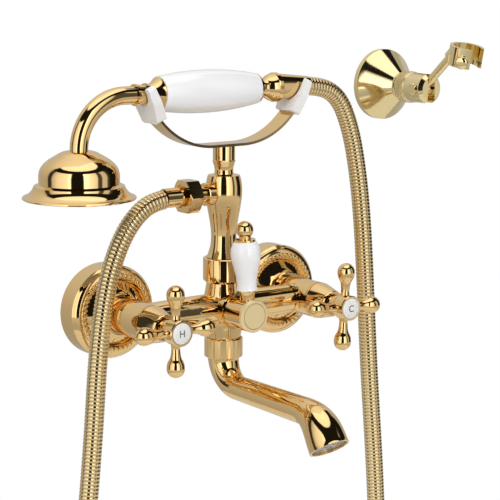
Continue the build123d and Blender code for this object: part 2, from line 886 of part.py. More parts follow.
    with BuildPart() as handle:
        turned(
            valve_plane,
            [
                (handle_neck_start, 0),
                (handle_neck_start, handle_neck_radius - edge_break),
                (handle_hub_back, handle_neck_radius),
                (handle_hub_back + handle_web_thickness, handle_hub_radius),
                (handle_hub_front - edge_break, handle_hub_radius),
                (handle_hub_front, handle_hub_radius - edge_break),
                (handle_hub_front, 0),
            ],
        )
        turn = cold_handle_turn if side == "cold" else 0
        for arm_number in range(handle_arm_count):
            arm_angle = radians(360 / handle_arm_count * arm_number + turn)
            arm_way = (sin(arm_angle), 0, cos(arm_angle))
            arm_centre = across(valve_plane, handle_depth).origin
            arm_plane = turning_plane(arm_centre, arm_way, forward)
            with BuildSketch(arm_plane):
                with BuildLine():
                    taper = Spline(
                        (arm_root_reach, arm_root_radius),
                        (arm_waist_reach, arm_waist_radius),
                        (arm_swell_reach, arm_swell_radius),
                        (arm_ball_reach, arm_ball_radius),
                        tangents=((1, -1), (1, 0)),
                    )
                    ball = CenterArc((arm_ball_reach, 0), arm_ball_radius, 0, 90)
                    Polyline(ball @ 0, (arm_root_reach, 0), taper @ 0)
                make_face()
            spin(arm_plane)
        turned_ring(
            valve_plane,
            handle_neck_start - cut_overrun,
            spindle_front_depth,
            spindle_radius + running_fit,
            0,
            Mode.SUBTRACT,
        )
        turned_ring(
            valve_plane,
            spindle_front_depth - cut_overrun,
            screw_seat_depth,
            handle_screw_radius + running_fit,
            0,
            Mode.SUBTRACT,
        )
        turned_ring(
            valve_plane,
            screw_seat_depth,
            index_back_depth,
            handle_screw_head_radius + seat_gap,
            0,
            Mode.SUBTRACT,
        )
        turned_ring(
            valve_plane,
            index_back_depth,
            handle_hub_front + cut_overrun,
            index_radius + running_fit,
            0,
            Mode.SUBTRACT,
        )
    handle.part.label = f"{side}_handle"
    export_step(handle.part, f"parts/{side}_handle.step")

    with BuildPart() as index:
        turned(
            valve_plane,
            [
                (index_back_depth, 0),
                (index_back_depth, index_radius),
                (index_front_depth - index_edge, index_radius),
                (index_front_depth, index_radius - 2 * index_edge),
                (index_front_depth, 0),
            ],
        )
    index.part.label = f"{side}_index"
    export_step(index.part, f"parts/{side}_index.step")

    with BuildPart() as handle_screw:
        turned(
            valve_plane,
            [
                (screw_seat_depth - handle_screw_length, 0),
                (screw_seat_depth - handle_screw_length, handle_screw_radius),
                (screw_seat_depth, handle_screw_radius),
                (screw_seat_depth, handle_screw_head_radius),
                (screw_seat_depth + handle_screw_head_length, handle_screw_head_radius),
                (screw_seat_depth + handle_screw_head_length, 0),
            ],
        )
        with BuildSketch(across(valve_plane, screw_seat_depth + handle_screw_head_length)):
            RegularPolygon(handle_screw_radius, 6)
        extrude(amount=-handle_screw_head_length / 2, mode=Mode.SUBTRACT)
    handle_screw.part.label = f"{side}_handle_screw"
    export_step(handle_screw.part, f"parts/{side}_handle_screw.step")

# Sealing washers of the two unions
with BuildPart() as inlet_washers:
    for valve_plane in valve_planes.values():
        turned_ring(
            valve_plane, union_front_depth, lip_back, inlet_washer_radius, waterway_radius
        )
inlet_washers.part.label = "inlet_washers"
export_step(inlet_washers.part, "parts/inlet_washers.step")

# Diverter cartridge, its spindle, and the drum and face disc that turn with the lever
with BuildPart() as diverter_cartridge:
    flange_front = diverter_boss_depth + diverter_flange_thickness
    gland_hole = diverter_spindle_radius + running_fit
    turned(
        diverter_plane,
        [
            (diverter_cartridge_back, 0),
            (diverter_cartridge_back, diverter_cartridge_tail_radius),
            (diverter_cartridge_step, diverter_cartridge_tail_radius),
            (diverter_cartridge_step, diverter_chamber_radius - running_fit),
            (diverter_boss_depth, diverter_chamber_radius - running_fit),
            (diverter_boss_depth, diverter_flange_radius),
            (flange_front, diverter_flange_radius),
            (flange_front, diverter_gland_radius),
            (diverter_gland_depth, diverter_gland_radius),
            (diverter_gland_depth, gland_hole),
            (diverter_spindle_back - seat_gap, gland_hole),
            (diverter_spindle_back - seat_gap, 0),
        ],
    )
diverter_cartridge.part.label = "diverter_cartridge"
export_step(diverter_cartridge.part, "parts/diverter_cartridge.step")

with BuildPart() as diverter_spindle:
    turned_ring(diverter_plane, diverter_spindle_back, drum_socket_depth, diverter_spindle_radius)
diverter_spindle.part.label = "diverter_spindle"
export_step(diverter_spindle.part, "parts/diverter_spindle.step")

lever_foot = (0, -lever_depth, 0)
lever_way = (-sin(radians(lever_lean)), 0, cos(radians(lever_lean)))
lever_plane = turning_plane(lever_foot, lever_way, forward)
neck_hole_bottom = drum_radius - lever_neck_hole_depth

with BuildPart() as diverter_drum:
    turned(
        diverter_plane,
        [
            (drum_back, diverter_flange_radius + seat_gap),
            (drum_back, drum_radius - edge_break),
            (drum_back + edge_break, drum_radius),
            (drum_front_depth, drum_radius),
            (drum_front_depth, disc_spigot_radius + running_fit),
            (drum_front_depth - disc_spigot_length, disc_spigot_radius + running_fit),
            (drum_front_depth - disc_spigot_length, 0),
            (drum_socket_depth, 0),
            (drum_socket_depth, diverter_spindle_radius + running_fit),
            (drum_skirt_depth, diverter_spindle_radius + running_fit),
            (drum_skirt_depth, diverter_flange_radius + seat_gap),
        ],
    )
    turned_ring(
        lever_plane,
        neck_hole_bottom,
        drum_radius + cut_overrun,
        lever_rod_radius + running_fit,
        0,
        Mode.SUBTRACT,
    )
diverter_drum.part.label = "diverter_drum"
export_step(diverter_drum.part, "parts/diverter_drum.step")

with BuildPart() as diverter_disc:
    turned(
        diverter_plane,
        [
            (drum_front_depth - disc_spigot_length, 0),
            (drum_front_depth - disc_spigot_length, disc_spigot_radius),
            (drum_front_depth, disc_spigot_radius),
            (drum_front_depth, drum_radius),
            (drum_disc_depth - disc_edge_break, drum_radius),
            (drum_disc_depth, drum_radius - disc_edge_break),
            (drum_disc_depth, 0),
        ],
    )
    turned_ring(
        diverter_plane,
        drum_disc_depth - disc_ring_depth,
        drum_disc_depth + cut_overrun,
        disc_ring_radius + disc_ring_width / 2,
        disc_ring_radius - disc_ring_width / 2,
        Mode.SUBTRACT,
    )
diverter_disc.part.label = "diverter_disc"
export_step(diverter_disc.part, "parts/diverter_disc.step")

with BuildPart() as diverter_lever_neck:
    rod_hole = lever_rod_radius + running_fit
    with BuildSketch(lever_plane):
        with BuildLine():
            waist = ThreePointArc(
                (drum_radius / 2, lever_neck_radius),
                ((drum_radius + lever_neck_top) / 2, lever_neck_waist_radius),
                (lever_neck_top, lever_neck_radius),
            )
            Polyline(waist @ 1, (lever_neck_top, rod_hole), (drum_radius / 2, rod_hole), waist @ 0)
        make_face()
    spin(lever_plane)
    turned_ring(
        diverter_plane,
        drum_back - cut_overrun,
        drum_disc_depth + cut_overrun,
        drum_radius + running_fit,
        0,
        Mode.SUBTRACT,
    )
diverter_lever_neck.part.label = "diverter_lever_neck"
export_step(diverter_lever_neck.part, "parts/diverter_lever_neck.step")

with BuildPart() as diverter_lever_grip:
    with BuildSketch(lever_plane):
        with BuildLine():
            flank = Spline(
                (lever_neck_top, grip_bottom_radius),
                (grip_mid_height, grip_mid_radius),
                (grip_max_height, grip_max_radius),
                (grip_top, grip_top_radius),
            )
            Polyline(flank @ 1, (grip_top, rod_hole), (lever_neck_top, rod_hole), flank @ 0)
        make_face()
    spin(lever_plane)
diverter_lever_grip.part.label = "diverter_lever_grip"
export_step(diverter_lever_grip.part, "parts/diverter_lever_grip.step")

with BuildPart() as diverter_lever_finial:
    turned(
        lever_plane,
        [
            (lever_rod_start, 0),
            (lever_rod_start, lever_rod_radius),
            (grip_top, lever_rod_radius),
            (grip_top, finial_collar_radius),
            (finial_collar_top - edge_break, finial_collar_radius),
            (finial_collar_top, finial_neck_radius),
            (finial_neck_top, finial_neck_radius),
            (finial_neck_top, 0),
        ],
    )
    with BuildSketch(lever_plane):
        with BuildLine():
            ball = CenterArc((finial_ball_height, 0), finial_ball_radius, 0, 180)
            Line(ball @ 1, ball @ 0)
        make_face()
    spin(lever_plane)
diverter_lever_finial.part.label = "diverter_lever_finial"
export_step(diverter_lever_finial.part, "parts/diverter_lever_finial.step")

# Riser: union nut, washer and the turned column
with BuildPart() as riser_nut:
    spigot_bore = riser_spigot_radius + running_fit
    shank_hole = riser_shank_radius + seat_gap
    turned(
        column_plane,
        [
            (riser_nut_bottom, spigot_bore),
            (riser_nut_bottom, riser_nut_radius - riser_nut_chamfer),
            (riser_nut_bottom + riser_nut_chamfer, riser_nut_radius),
            (riser_nut_top - edge_break, riser_nut_radius),
            (riser_nut_top, riser_nut_radius - edge_break),
            (riser_nut_top, shank_hole),
            (riser_nut_web_bottom, shank_hole),
            (riser_nut_web_bottom, spigot_bore),
        ],
    )
riser_nut.part.label = "riser_nut"
export_step(riser_nut.part, "parts/riser_nut.step")

with BuildPart() as riser_washer:
    turned_ring(
        column_plane, riser_spigot_height, riser_foot, riser_collar_radius, port_radius
    )
riser_washer.part.label = "riser_washer"
export_step(riser_washer.part, "parts/riser_washer.step")

outlet_plane = turning_plane((0, -body_reach, outlet_height), leftward)

with BuildPart() as riser_column:
    with BuildSketch(column_plane):
        with BuildLine():
            baluster = Spline(
                (riser_base_bottom, riser_base_radius),
                (riser_waist_height, riser_waist_radius),
                (riser_bulge_height, riser_bulge_radius),
                (riser_shoulder_height, riser_shoulder_radius),
            )
            throat = ThreePointArc(
                (riser_neck_bottom, riser_neck_radius),
                ((riser_neck_bottom + riser_neck_top) / 2, riser_neck_radius - edge_break / 2),
                (riser_neck_top, riser_neck_radius + edge_break),
            )
            Line(baluster @ 1, throat @ 0)
            Polyline(
                throat @ 1,
                (riser_bead_top - edge_break, riser_bead_radius),
                (riser_bead_top, riser_top_radius),
                (riser_top, riser_top_radius),
                (riser_top, 0),
                (riser_foot, 0),
                (riser_foot, riser_collar_radius),
                (riser_collar_top, riser_collar_radius),
                (riser_collar_top, riser_shank_radius),
                (riser_base_bottom, riser_shank_radius),
                baluster @ 0,
            )
        make_face()
    spin(column_plane)
    turned_ring(
        column_plane, riser_foot - cut_overrun, riser_bore_top, riser_bore_radius, 0, Mode.SUBTRACT
    )
    turned_ring(
        outlet_plane, 0, outlet_seat_reach, outlet_root_radius + running_fit, 0, Mode.SUBTRACT
    )
    turned_ring(
        outlet_plane,
        outlet_seat_reach,
        riser_bulge_radius + cut_overrun,
        outlet_disc_radius + running_fit,
        0,
        Mode.SUBTRACT,
    )
    turned_ring(
        column_plane,
        riser_top - cradle_screw_length,
        riser_top + cut_overrun,
        cradle_screw_radius + running_fit,
        0,
        Mode.SUBTRACT,
    )
riser_column.part.label = "riser_column"
export_step(riser_column.part, "parts/riser_column.step")

# Shower outlet: nipple, washer, hexagon nut and the ferrule that carries the hose
with BuildPart() as outlet_nipple:
    turned(
        outlet_plane,
        [
            (outlet_root_reach, hose_bore_radius),
            (outlet_root_reach, outlet_root_radius),
            (outlet_seat_reach, outlet_root_radius),
            (outlet_seat_reach, outlet_disc_radius),
            (outlet_disc_reach - edge_break, outlet_disc_radius),
            (outlet_disc_reach, outlet_disc_radius - edge_break),
            (outlet_disc_reach, outlet_neck_radius),
            (outlet_thread_start, outlet_neck_radius),
            (outlet_thread_start, outlet_thread_radius),
            (outlet_thread_end, outlet_thread_radius),
            (outlet_thread_end, hose_bore_radius),
        ],
    )
outlet_nipple.part.label = "outlet_nipple"
export_step(outlet_nipple.part, "parts/outlet_nipple.step")

with BuildPart() as outlet_washer:
    turned_ring(
        outlet_plane, outlet_thread_end, washer_end, ferrule_flange_radius, hose_bore_radius
    )
outlet_washer.part.label = "outlet_washer"
export_step(outlet_washer.part, "parts/outlet_washer.step")

with BuildPart() as hose_hex_nut:
    with BuildSketch(across(outlet_plane, hose_nut_start)):
        RegularPolygon(hose_nut_flats / 2, 6, major_radius=False, rotation=30)
    extrude(amount=hose_nut_end - hose_nut_start)
    corner_radius = hose_nut_flats / 2 / cos(pi / 6)
    turned(
        outlet_plane,
        [
            (hose_nut_start, 0),
            (hose_nut_start, corner_radius - hose_nut_chamfer),
            (hose_nut_start + hose_nut_chamfer / 2, corner_radius),
            (hose_nut_end - hose_nut_chamfer / 2, corner_radius),
            (hose_nut_end, corner_radius - hose_nut_chamfer),
            (hose_nut_end, 0),
        ],
        Mode.INTERSECT,
    )
    turned_ring(
        outlet_plane,
        hose_nut_start - cut_overrun,
        hose_nut_web_start,
        outlet_thread_radius + running_fit,
        0,
        Mode.SUBTRACT,
    )
    turned_ring(
        outlet_plane, hose_nut_web_start, hose_nut_end, ferrule_radius + seat_gap, 0, Mode.SUBTRACT
    )
    turned_ring(
        outlet_plane,
        hose_nut_end - hose_nut_recess_depth,
        hose_nut_end + cut_overrun,
        hose_nut_recess_radius,
        0,
        Mode.SUBTRACT,
    )
hose_hex_nut.part.label = "hose_hex_nut"
export_step(hose_hex_nut.part, "parts/hose_hex_nut.step")

with BuildPart() as hose_ferrule:
    turned(
        outlet_plane,
        [
            (washer_end, hose_bore_radius),
            (washer_end, ferrule_flange_radius),
            (flange_end, ferrule_flange_radius),
            (flange_end, ferrule_radius),
            (ferrule_end, ferrule_radius),
            (ferrule_end, hose_end_radius + running_fit),
            (ferrule_seat, hose_end_radius + running_fit),
            (ferrule_seat, hose_bore_radius),
        ],
    )
hose_ferrule.part.label = "hose_ferrule"
export_step(hose_ferrule.part, "parts/hose_ferrule.step")

# Cradle: a bent strap on top of the column, held by one screw, with a nylon yoke at each end
strap_middle_height = riser_top + strap_thickness / 2
bend_rise = strap_bend_radius * (1 - cos(radians(strap_bend_turn)))
end_x = strap_end_run * cos(radians(strap_bend_turn))
end_z = strap_end_run * sin(radians(strap_bend_turn))
strap_plane = Plane(origin=(0, -body_reach, 0), x_dir=rightward, z_dir=forward)

with BuildPart() as cradle_strap:
    with BuildSketch(strap_plane):
        with BuildLine() as strap_line:
            Line(
                (-strap_left_flat, strap_middle_height), (strap_right_flat, strap_middle_height)
            )
            right_bend = CenterArc(
                (strap_right_flat, strap_middle_height + strap_bend_radius),
                strap_bend_radius,
                -90,
                strap_bend_turn,
            )
            left_bend = CenterArc(
                (-strap_left_flat, strap_middle_height + strap_bend_radius),
                strap_bend_radius,
                -90,
                -strap_bend_turn,
            )
            Line(right_bend @ 1, (right_bend @ 1) + Vector(end_x, end_z))
            Line(left_bend @ 1, (left_bend @ 1) + Vector(-end_x, end_z))
        trace(line_width=strap_thickness)
    extrude(amount=strap_width / 2, both=True)
    turned_ring(
        column_plane,
        riser_top - cut_overrun,
        riser_top + strap_thickness + cut_overrun,
        cradle_screw_radius + running_fit,
        0,
        Mode.SUBTRACT,
    )
    turned(
        column_plane,
        [
            (riser_top, 0),
            (riser_top, cradle_screw_radius + running_fit),
            (riser_top + strap_thickness, cradle_screw_head_radius + running_fit),
            (riser_top + strap_thickness + cut_overrun, cradle_screw_head_radius + running_fit),
            (riser_top + strap_thickness + cut_overrun, 0),
        ],
        Mode.SUBTRACT,
    )
cradle_strap.part.label = "cradle_strap"
export_step(cradle_strap.part, "parts/cradle_strap.step")

with BuildPart() as cradle_screw:
    turned(
        column_plane,
        [
            (riser_top - cradle_screw_length + edge_break, 0),
            (riser_top - cradle_screw_length + edge_break, cradle_screw_radius),
            (riser_top + running_fit, cradle_screw_radius),
            (riser_top + strap_thickness, cradle_screw_head_radius - running_fit),
            (riser_top + strap_thickness, 0),
        ],
    )
cradle_screw.part.label = "cradle_screw"
export_step(cradle_screw.part, "parts/cradle_screw.step")

left_end = Vector(-strap_left_flat - bend_reach, -body_reach, strap_middle_height + bend_rise)
right_end = Vector(strap_right_flat + bend_reach, -body_reach, strap_middle_height + bend_rise)
cone_slope = (cone_nut_radius - cone_nut_end_radius) / cone_nut_length
cone_entry = right_end.X - yoke_thickness / 2 - cone_nut_start
cone_cradle_radius = cone_nut_radius - cone_slope * cone_entry + seat_gap
yokes = (
    ("left", left_end, -yoke_left_lean, collar_ring_radius + seat_gap),
    ("right", right_end, yoke_right_lean, cone_cradle_radius),
)
for side, foot, lean, cradle_radius in yokes:
    lean_way = (sin(radians(lean)), 0, cos(radians(lean)))
    yoke_plane = Plane(origin=foot, x_dir=(0, 1, 0), z_dir=Vector(0, 1, 0).cross(Vector(*lean_way)))
    axis_height = (handset_height - foot.Z) / cos(radians(lean))
    with BuildPart() as yoke:
        with BuildSketch(yoke_plane):
            with BuildLine():
                Polyline(
                    (-yoke_base_half_width, -yoke_foot),
                    (yoke_base_half_width, -yoke_foot),
                    (yoke_tip_half_width, axis_height - yoke_prong_rise),
                    (yoke_tip_half_width - edge_break, axis_height + yoke_prong_rise),
                    (-yoke_tip_half_width + edge_break, axis_height + yoke_prong_rise),
                    (-yoke_tip_half_width, axis_height - yoke_prong_rise),
                    close=True,
                )
            make_face()
        extrude(amount=yoke_thickness / 2, both=True)
        fillet(yoke.edges().filter_by(Axis(foot, yoke_plane.z_dir)), yoke_corner)
        with BuildSketch(Plane(origin=foot, x_dir=lean_way, z_dir=(0, 1, 0))):
            with BuildLine():
                Polyline(
                    (-yoke_foot, -yoke_thickness / 2),
                    (-yoke_foot, yoke_thickness / 2),
                    (axis_height + yoke_prong_rise, yoke_tip_thickness / 2),
                    (axis_height + yoke_prong_rise, -yoke_tip_thickness / 2),
                    close=True,
                )
            make_face()
        extrude(amount=yoke_tip_half_width, both=True, mode=Mode.INTERSECT)
        turned_ring(
            handset_plane,
            foot.X - 4 * yoke_thickness,
            foot.X + 4 * yoke_thickness,
            cradle_radius,
            0,
            Mode.SUBTRACT,
        )
        with BuildSketch(Plane.XY.offset(handset_height)):
            with Locations((foot.X, -body_reach)):
                Rectangle(8 * yoke_thickness, 2 * cradle_radius)
        extrude(amount=4 * yoke_thickness, mode=Mode.SUBTRACT)
        if side == "left":
            turned(
                handset_plane,
                [
                    (collar_bell_start, 0),
                    (collar_bell_start, cradle_radius),
                    (grip_left, collar_bell_radius + 2 * seat_gap),
                    (grip_left, 0),
                ],
                Mode.SUBTRACT,
            )
        with BuildSketch(strap_plane):
            with BuildLine():
                way = 1 if side == "right" else -1
                end_bend = CenterArc(
                    (foot.X - way * bend_reach, strap_middle_height + strap_bend_radius),
                    strap_bend_radius,
                    -90,
                    way * strap_bend_turn,
                )
                Line(end_bend @ 1, (end_bend @ 1) + Vector(way * end_x, end_z))
            trace(line_width=strap_thickness + 2 * running_fit)
        extrude(amount=strap_width / 2 + running_fit, both=True, mode=Mode.SUBTRACT)
    yoke.part.label = f"{side}_yoke"
    export_step(yoke.part, f"parts/{side}_yoke.step")

# Handset: elbow, shower head, spray plate, collar, grip, inner tube and end fitting
head_plane = turning_plane((head_x, -body_reach, 0), upward, forward)

with BuildPart() as handset_elbow:
    with BuildSketch(across(handset_plane, elbow_bend_start)) as elbow_section:
        Circle(elbow_radius)
        Circle(elbow_bore_radius, mode=Mode.SUBTRACT)
    revolve(
        axis=Axis((elbow_bend_start, -body_reach, bend_centre_z), (0, -1, 0)),
        revolution_arc=90,
    )
    turned_ring(
        handset_plane, elbow_bend_start, elbow_end, elbow_radius, elbow_bore_radius
    )
    turned_ring(
        handset_plane, elbow_ring_place, elbow_end, elbow_ring_radius, elbow_bore_radius
    )
    turned_ring(
        head_plane, head_boss_bottom, bend_centre_z, elbow_radius, elbow_bore_radius
    )
handset_elbow.part.label = "handset_elbow"
export_step(handset_elbow.part, "parts/handset_elbow.step")

with BuildPart() as shower_head:
    with BuildSketch(head_plane):
        with BuildLine():
            flare = ThreePointArc(
                (head_bottom + head_rim_thickness, head_rim_radius - edge_break),
                (head_flare_height, head_flare_radius),
                (head_ledge_height, head_ledge_radius),
            )
            dome = Spline(
                (head_dome_wall_top, head_dome_radius),
                (head_shoulder_height, head_shoulder_radius),
                (head_crown_height, head_crown_radius),
                (head_top, elbow_radius + running_fit),
                tangents=((1, 0), (0, -1)),
            )
            inner_dome = Spline(
                (head_dome_wall_top, head_dome_radius - head_wall),
                (head_shoulder_height - head_wall, head_shoulder_radius - head_wall),
                (head_crown_height - head_wall, head_crown_radius - head_wall),
                (head_crown_height, head_boss_radius),
            )
            Polyline(flare @ 1, (head_dome_bottom, head_dome_radius), dome @ 0)
            Polyline(
                dome @ 1,
                (head_boss_bottom, elbow_radius + running_fit),
                (head_boss_bottom, head_boss_radius),
                inner_dome @ 1,
            )
            Polyline(
                inner_dome @ 0,
                (head_ledge_height, head_dome_radius - head_wall),
                (head_flare_height - head_wall, head_flare_radius - head_wall),
                (
                    head_bottom + spray_plate_recess + spray_plate_thickness,
                    spray_plate_radius - head_wall,
                ),
                (
                    head_bottom + spray_plate_recess + spray_plate_thickness,
                    spray_plate_radius + running_fit,
                ),
                (head_bottom, spray_plate_radius + running_fit),
                (head_bottom, head_rim_radius - edge_break),
                (head_bottom + edge_break, head_rim_radius),
                (head_bottom + head_rim_thickness - edge_break, head_rim_radius),
                flare @ 0,
            )
        make_face()
    spin(head_plane)
shower_head.part.label = "shower_head"
export_step(shower_head.part, "parts/shower_head.step")

plate_bottom = head_bottom + spray_plate_recess
with BuildPart() as spray_plate:
    turned_ring(
        head_plane, plate_bottom, plate_bottom + spray_plate_thickness, spray_plate_radius
    )
    for ring_number in range(1, spray_ring_count + 1):
        with BuildSketch(Plane.XY.offset(plate_bottom)):
            with Locations((head_x, -body_reach)):
                with PolarLocations(
                    spray_ring_pitch * ring_number, spray_holes_per_ring * ring_number
                ):
                    Circle(spray_hole_radius)
        extrude(amount=spray_plate_thickness, mode=Mode.SUBTRACT)
spray_plate.part.label = "spray_plate"
export_step(spray_plate.part, "parts/spray_plate.step")

with BuildPart() as handset_collar:
    tube_hole = handset_tube_radius + running_fit
    with BuildSketch(handset_plane):
        with BuildLine():
            bell = Spline(
                (collar_bell_start, collar_neck_radius),
                (collar_bell_mid, collar_bell_mid_radius),
                (grip_left - edge_break, collar_bell_radius),
            )
            Polyline(
                bell @ 1,
                (grip_left, collar_bell_radius),
                (grip_left, tube_hole),
                (elbow_end, tube_hole),
                (elbow_end, collar_neck_radius),
                (collar_ring_place, collar_neck_radius),
                (collar_ring_place, collar_ring_radius),
                (collar_ring_place + collar_ring_width, collar_ring_radius),
                (collar_ring_place + collar_ring_width, collar_neck_radius),
                bell @ 0,
            )
        make_face()
    spin(handset_plane)
handset_collar.part.label = "handset_collar"
export_step(handset_collar.part, "parts/handset_collar.step")

with BuildPart() as handset_grip:
    with BuildSketch(handset_plane):
        with BuildLine():
            barrel = Spline(
                (grip_left, grip_left_radius),
                (grip_max_place, handset_grip_radius),
                (grip_right, grip_right_radius),
            )
            Polyline(barrel @ 1, (grip_right, tube_hole), (grip_left, tube_hole), barrel @ 0)
        make_face()
    spin(handset_plane)
handset_grip.part.label = "handset_grip"
export_step(handset_grip.part, "parts/handset_grip.step")

with BuildPart() as handset_tube:
    turned_ring(
        handset_plane, elbow_end, end_neck_place, handset_tube_radius, handset_tube_bore
    )
handset_tube.part.label = "handset_tube"
export_step(handset_tube.part, "parts/handset_tube.step")

with BuildPart() as handset_end_fitting:
    with BuildSketch(handset_plane):
        with BuildLine():
            neck = ThreePointArc(
                (grip_right + end_cap_width, end_neck_radius + edge_break),
                (end_neck_place, end_neck_radius),
                (end_bell_start, end_neck_radius + edge_break),
            )
            bell = ThreePointArc(
                neck @ 1,
                (
                    (end_bell_start + end_lip_start) / 2,
                    (end_neck_radius + end_bell_radius) / 2 + end_bell_bulge,
                ),
                (end_lip_start, end_bell_radius),
            )
            Polyline(
                bell @ 1,
                (end_lip_start + edge_break, end_lip_radius),
                (end_lip_end, end_lip_radius),
                (end_lip_end, end_thread_radius),
                (hose_seat_place, end_thread_radius),
                (hose_seat_place, handset_tube_bore),
                (end_neck_place, handset_tube_bore),
                (end_neck_place, tube_hole),
                (grip_right, tube_hole),
                (grip_right, grip_right_radius),
                (grip_right + end_cap_width, grip_right_radius - edge_break),
                neck @ 0,
            )
        make_face()
    spin(handset_plane)
handset_end_fitting.part.label = "handset_end_fitting"
export_step(handset_end_fitting.part, "parts/handset_end_fitting.step")

# Conical hose nut that holds the end of the hose against the handset
with BuildPart() as hose_cone_nut:
    hose_end_hole = hose_end_radius + running_fit
    turned(
        handset_plane,
        [
            (cone_nut_start, end_thread_radius + running_fit),
            (cone_nut_start, cone_nut_radius - edge_break),
            (cone_nut_start + edge_break, cone_nut_radius),
            (cone_nut_end, cone_nut_end_radius),
            (cone_nut_end, hose_end_hole),
            (cone_nut_web, hose_end_hole),
            (cone_nut_web, end_thread_radius + running_fit),
        ],
    )
hose_cone_nut.part.label = "hose_cone_nut"
export_step(hose_cone_nut.part, "parts/hose_cone_nut.step")

# Spout: nut on the body, swivelling spout with its seal, and the aerator in its mouth
with BuildPart() as spout_nut:
    spigot_bore = spout_spigot_radius + running_fit
    neck_hole = spout_neck_radius + seat_gap
    turned(
        column_plane,
        [
            (spout_nut_top, spigot_bore),
            (spout_nut_top, spout_nut_radius - edge_break),
            (spout_nut_top - edge_break, spout_nut_radius),
            (spout_nut_bottom + edge_break, spout_nut_radius),
            (spout_nut_bottom, spout_nut_radius - edge_break),
            (spout_nut_bottom, neck_hole),
            (spout_nut_web_top, neck_hole),
            (spout_nut_web_top, spigot_bore),
        ],
    )
spout_nut.part.label = "spout_nut"
export_step(spout_nut.part, "parts/spout_nut.step")

spout_run_height = spout_tube_top - spout_bend_radius
run_start = body_reach + spout_bend_radius
run_end = run_start + spout_run_length
drop_centre_z = spout_run_height - spout_drop_radius
run_plane = turning_plane((0, 0, spout_run_height), forward)


def spout_bend_plane(turn):
    """The plane square to the spout after so many degrees of its upper bend."""
    turned_by = radians(turn)
    return Plane(
        origin=(
            0,
            -run_start + spout_bend_radius * cos(turned_by),
            spout_tube_top - spout_bend_radius * sin(turned_by),
        ),
        x_dir=(1, 0, 0),
        z_dir=(0, -sin(turned_by), -cos(turned_by)),
    )


def spout_path_plane(turn):
    """The plane square to the spout's drop after so many degrees of its bend."""
    turned_by = radians(turn)
    return Plane(
        origin=(
            0,
            -run_end - spout_drop_radius * sin(turned_by),
            drop_centre_z + spout_drop_radius * cos(turned_by),
        ),
        x_dir=(1, 0, 0),
        z_dir=(0, -cos(turned_by), -sin(turned_by)),
    )


drop_end = spout_path_plane(spout_drop_turn)
mouth_plane = Plane(
    origin=drop_end.origin + drop_end.z_dir * spout_bell_length,
    x_dir=(1, 0, 0),
    z_dir=drop_end.z_dir,
)
bend_turn_shares = (0, 0.25, 0.5, 0.75, 1)
drop_turn_shares = (0, 0.2, 0.45, 0.7, 1)
drop_flare_shares = (0, 0.12, 0.4, 0.68, 0.88)

with BuildPart() as spout:
    turned(
        column_plane,
        [
            (spout_shank_top, 0),
            (spout_shank_top, spout_shank_radius),
            (spout_spigot_height - seat_gap, spout_shank_radius),
            (spout_spigot_height - seat_gap, spout_collar_radius),
            (collar_bottom, spout_collar_radius),
            (collar_bottom, spout_neck_radius),
            (spout_tube_top, spout_neck_radius),
            (spout_tube_top, 0),
        ],
    )
    for turn_share in bend_turn_shares:
        with BuildSketch(spout_bend_plane(90 * turn_share)):
            Circle(spout_tube_radius + (spout_bend_end_radius - spout_tube_radius) * turn_share)
    loft()
    turned(
        run_plane,
        [
            (run_start, 0),
            (run_start, spout_bend_end_radius),
            (run_end, spout_run_end_radius),
            (run_end, 0),
        ],
    )
    for turn_share, flare_share in zip(drop_turn_shares, drop_flare_shares):
        with BuildSketch(spout_path_plane(spout_drop_turn * turn_share)):
            Circle(
                spout_run_end_radius
                + (spout_bell_radius - spout_run_end_radius) * flare_share
            )
    with BuildSketch(mouth_plane):
        Circle(spout_bell_radius)
    loft()
    with BuildSketch(mouth_plane):
        Circle(spout_bell_radius - spout_bell_wall)
    extrude(amount=-aerator_seat_depth, mode=Mode.SUBTRACT)
    turned_ring(
        column_plane,
        spout_tube_top,
        spout_shank_top + cut_overrun,
        spout_bore_radius,
        0,
        Mode.SUBTRACT,
    )
    turned_ring(
        column_plane,
        o_ring_height - o_ring_thickness,
        o_ring_height + o_ring_thickness,
        spout_shank_radius + cut_overrun,
        spout_shank_radius - o_ring_thickness,
        Mode.SUBTRACT,
    )
spout.part.label = "spout"
export_step(spout.part, "parts/spout.step")

with BuildPart() as spout_o_ring:
    turned_ring(
        column_plane,
        o_ring_height - o_ring_thickness + running_fit,
        o_ring_height + o_ring_thickness - running_fit,
        spout_shank_radius - running_fit,
        spout_shank_radius - o_ring_thickness + running_fit,
    )
spout_o_ring.part.label = "spout_o_ring"
export_step(spout_o_ring.part, "parts/spout_o_ring.step")

with BuildPart() as aerator:
    aerator_radius = spout_bell_radius - spout_bell_wall - running_fit
    with BuildSketch(
        Plane(
            origin=mouth_plane.origin - mouth_plane.z_dir * aerator_recess,
            x_dir=(1, 0, 0),
            z_dir=mouth_plane.z_dir,
        )
    ):
        Circle(aerator_radius)
        with PolarLocations(aerator_radius * 2 / 3, aerator_hole_count):
            Circle(aerator_hole_radius, mode=Mode.SUBTRACT)
        with PolarLocations(aerator_radius / 3, aerator_hole_count // 2):
            Circle(aerator_hole_radius, mode=Mode.SUBTRACT)
    extrude(amount=-aerator_length)
aerator.part.label = "aerator"
export_step(aerator.part, "parts/aerator.step")

# Hand shower bracket: rose on its wall plate, knurled nut, clevis, pivot pin, arm and clip
rose_plane = turning_plane((bracket_x, 0, bracket_z), forward)

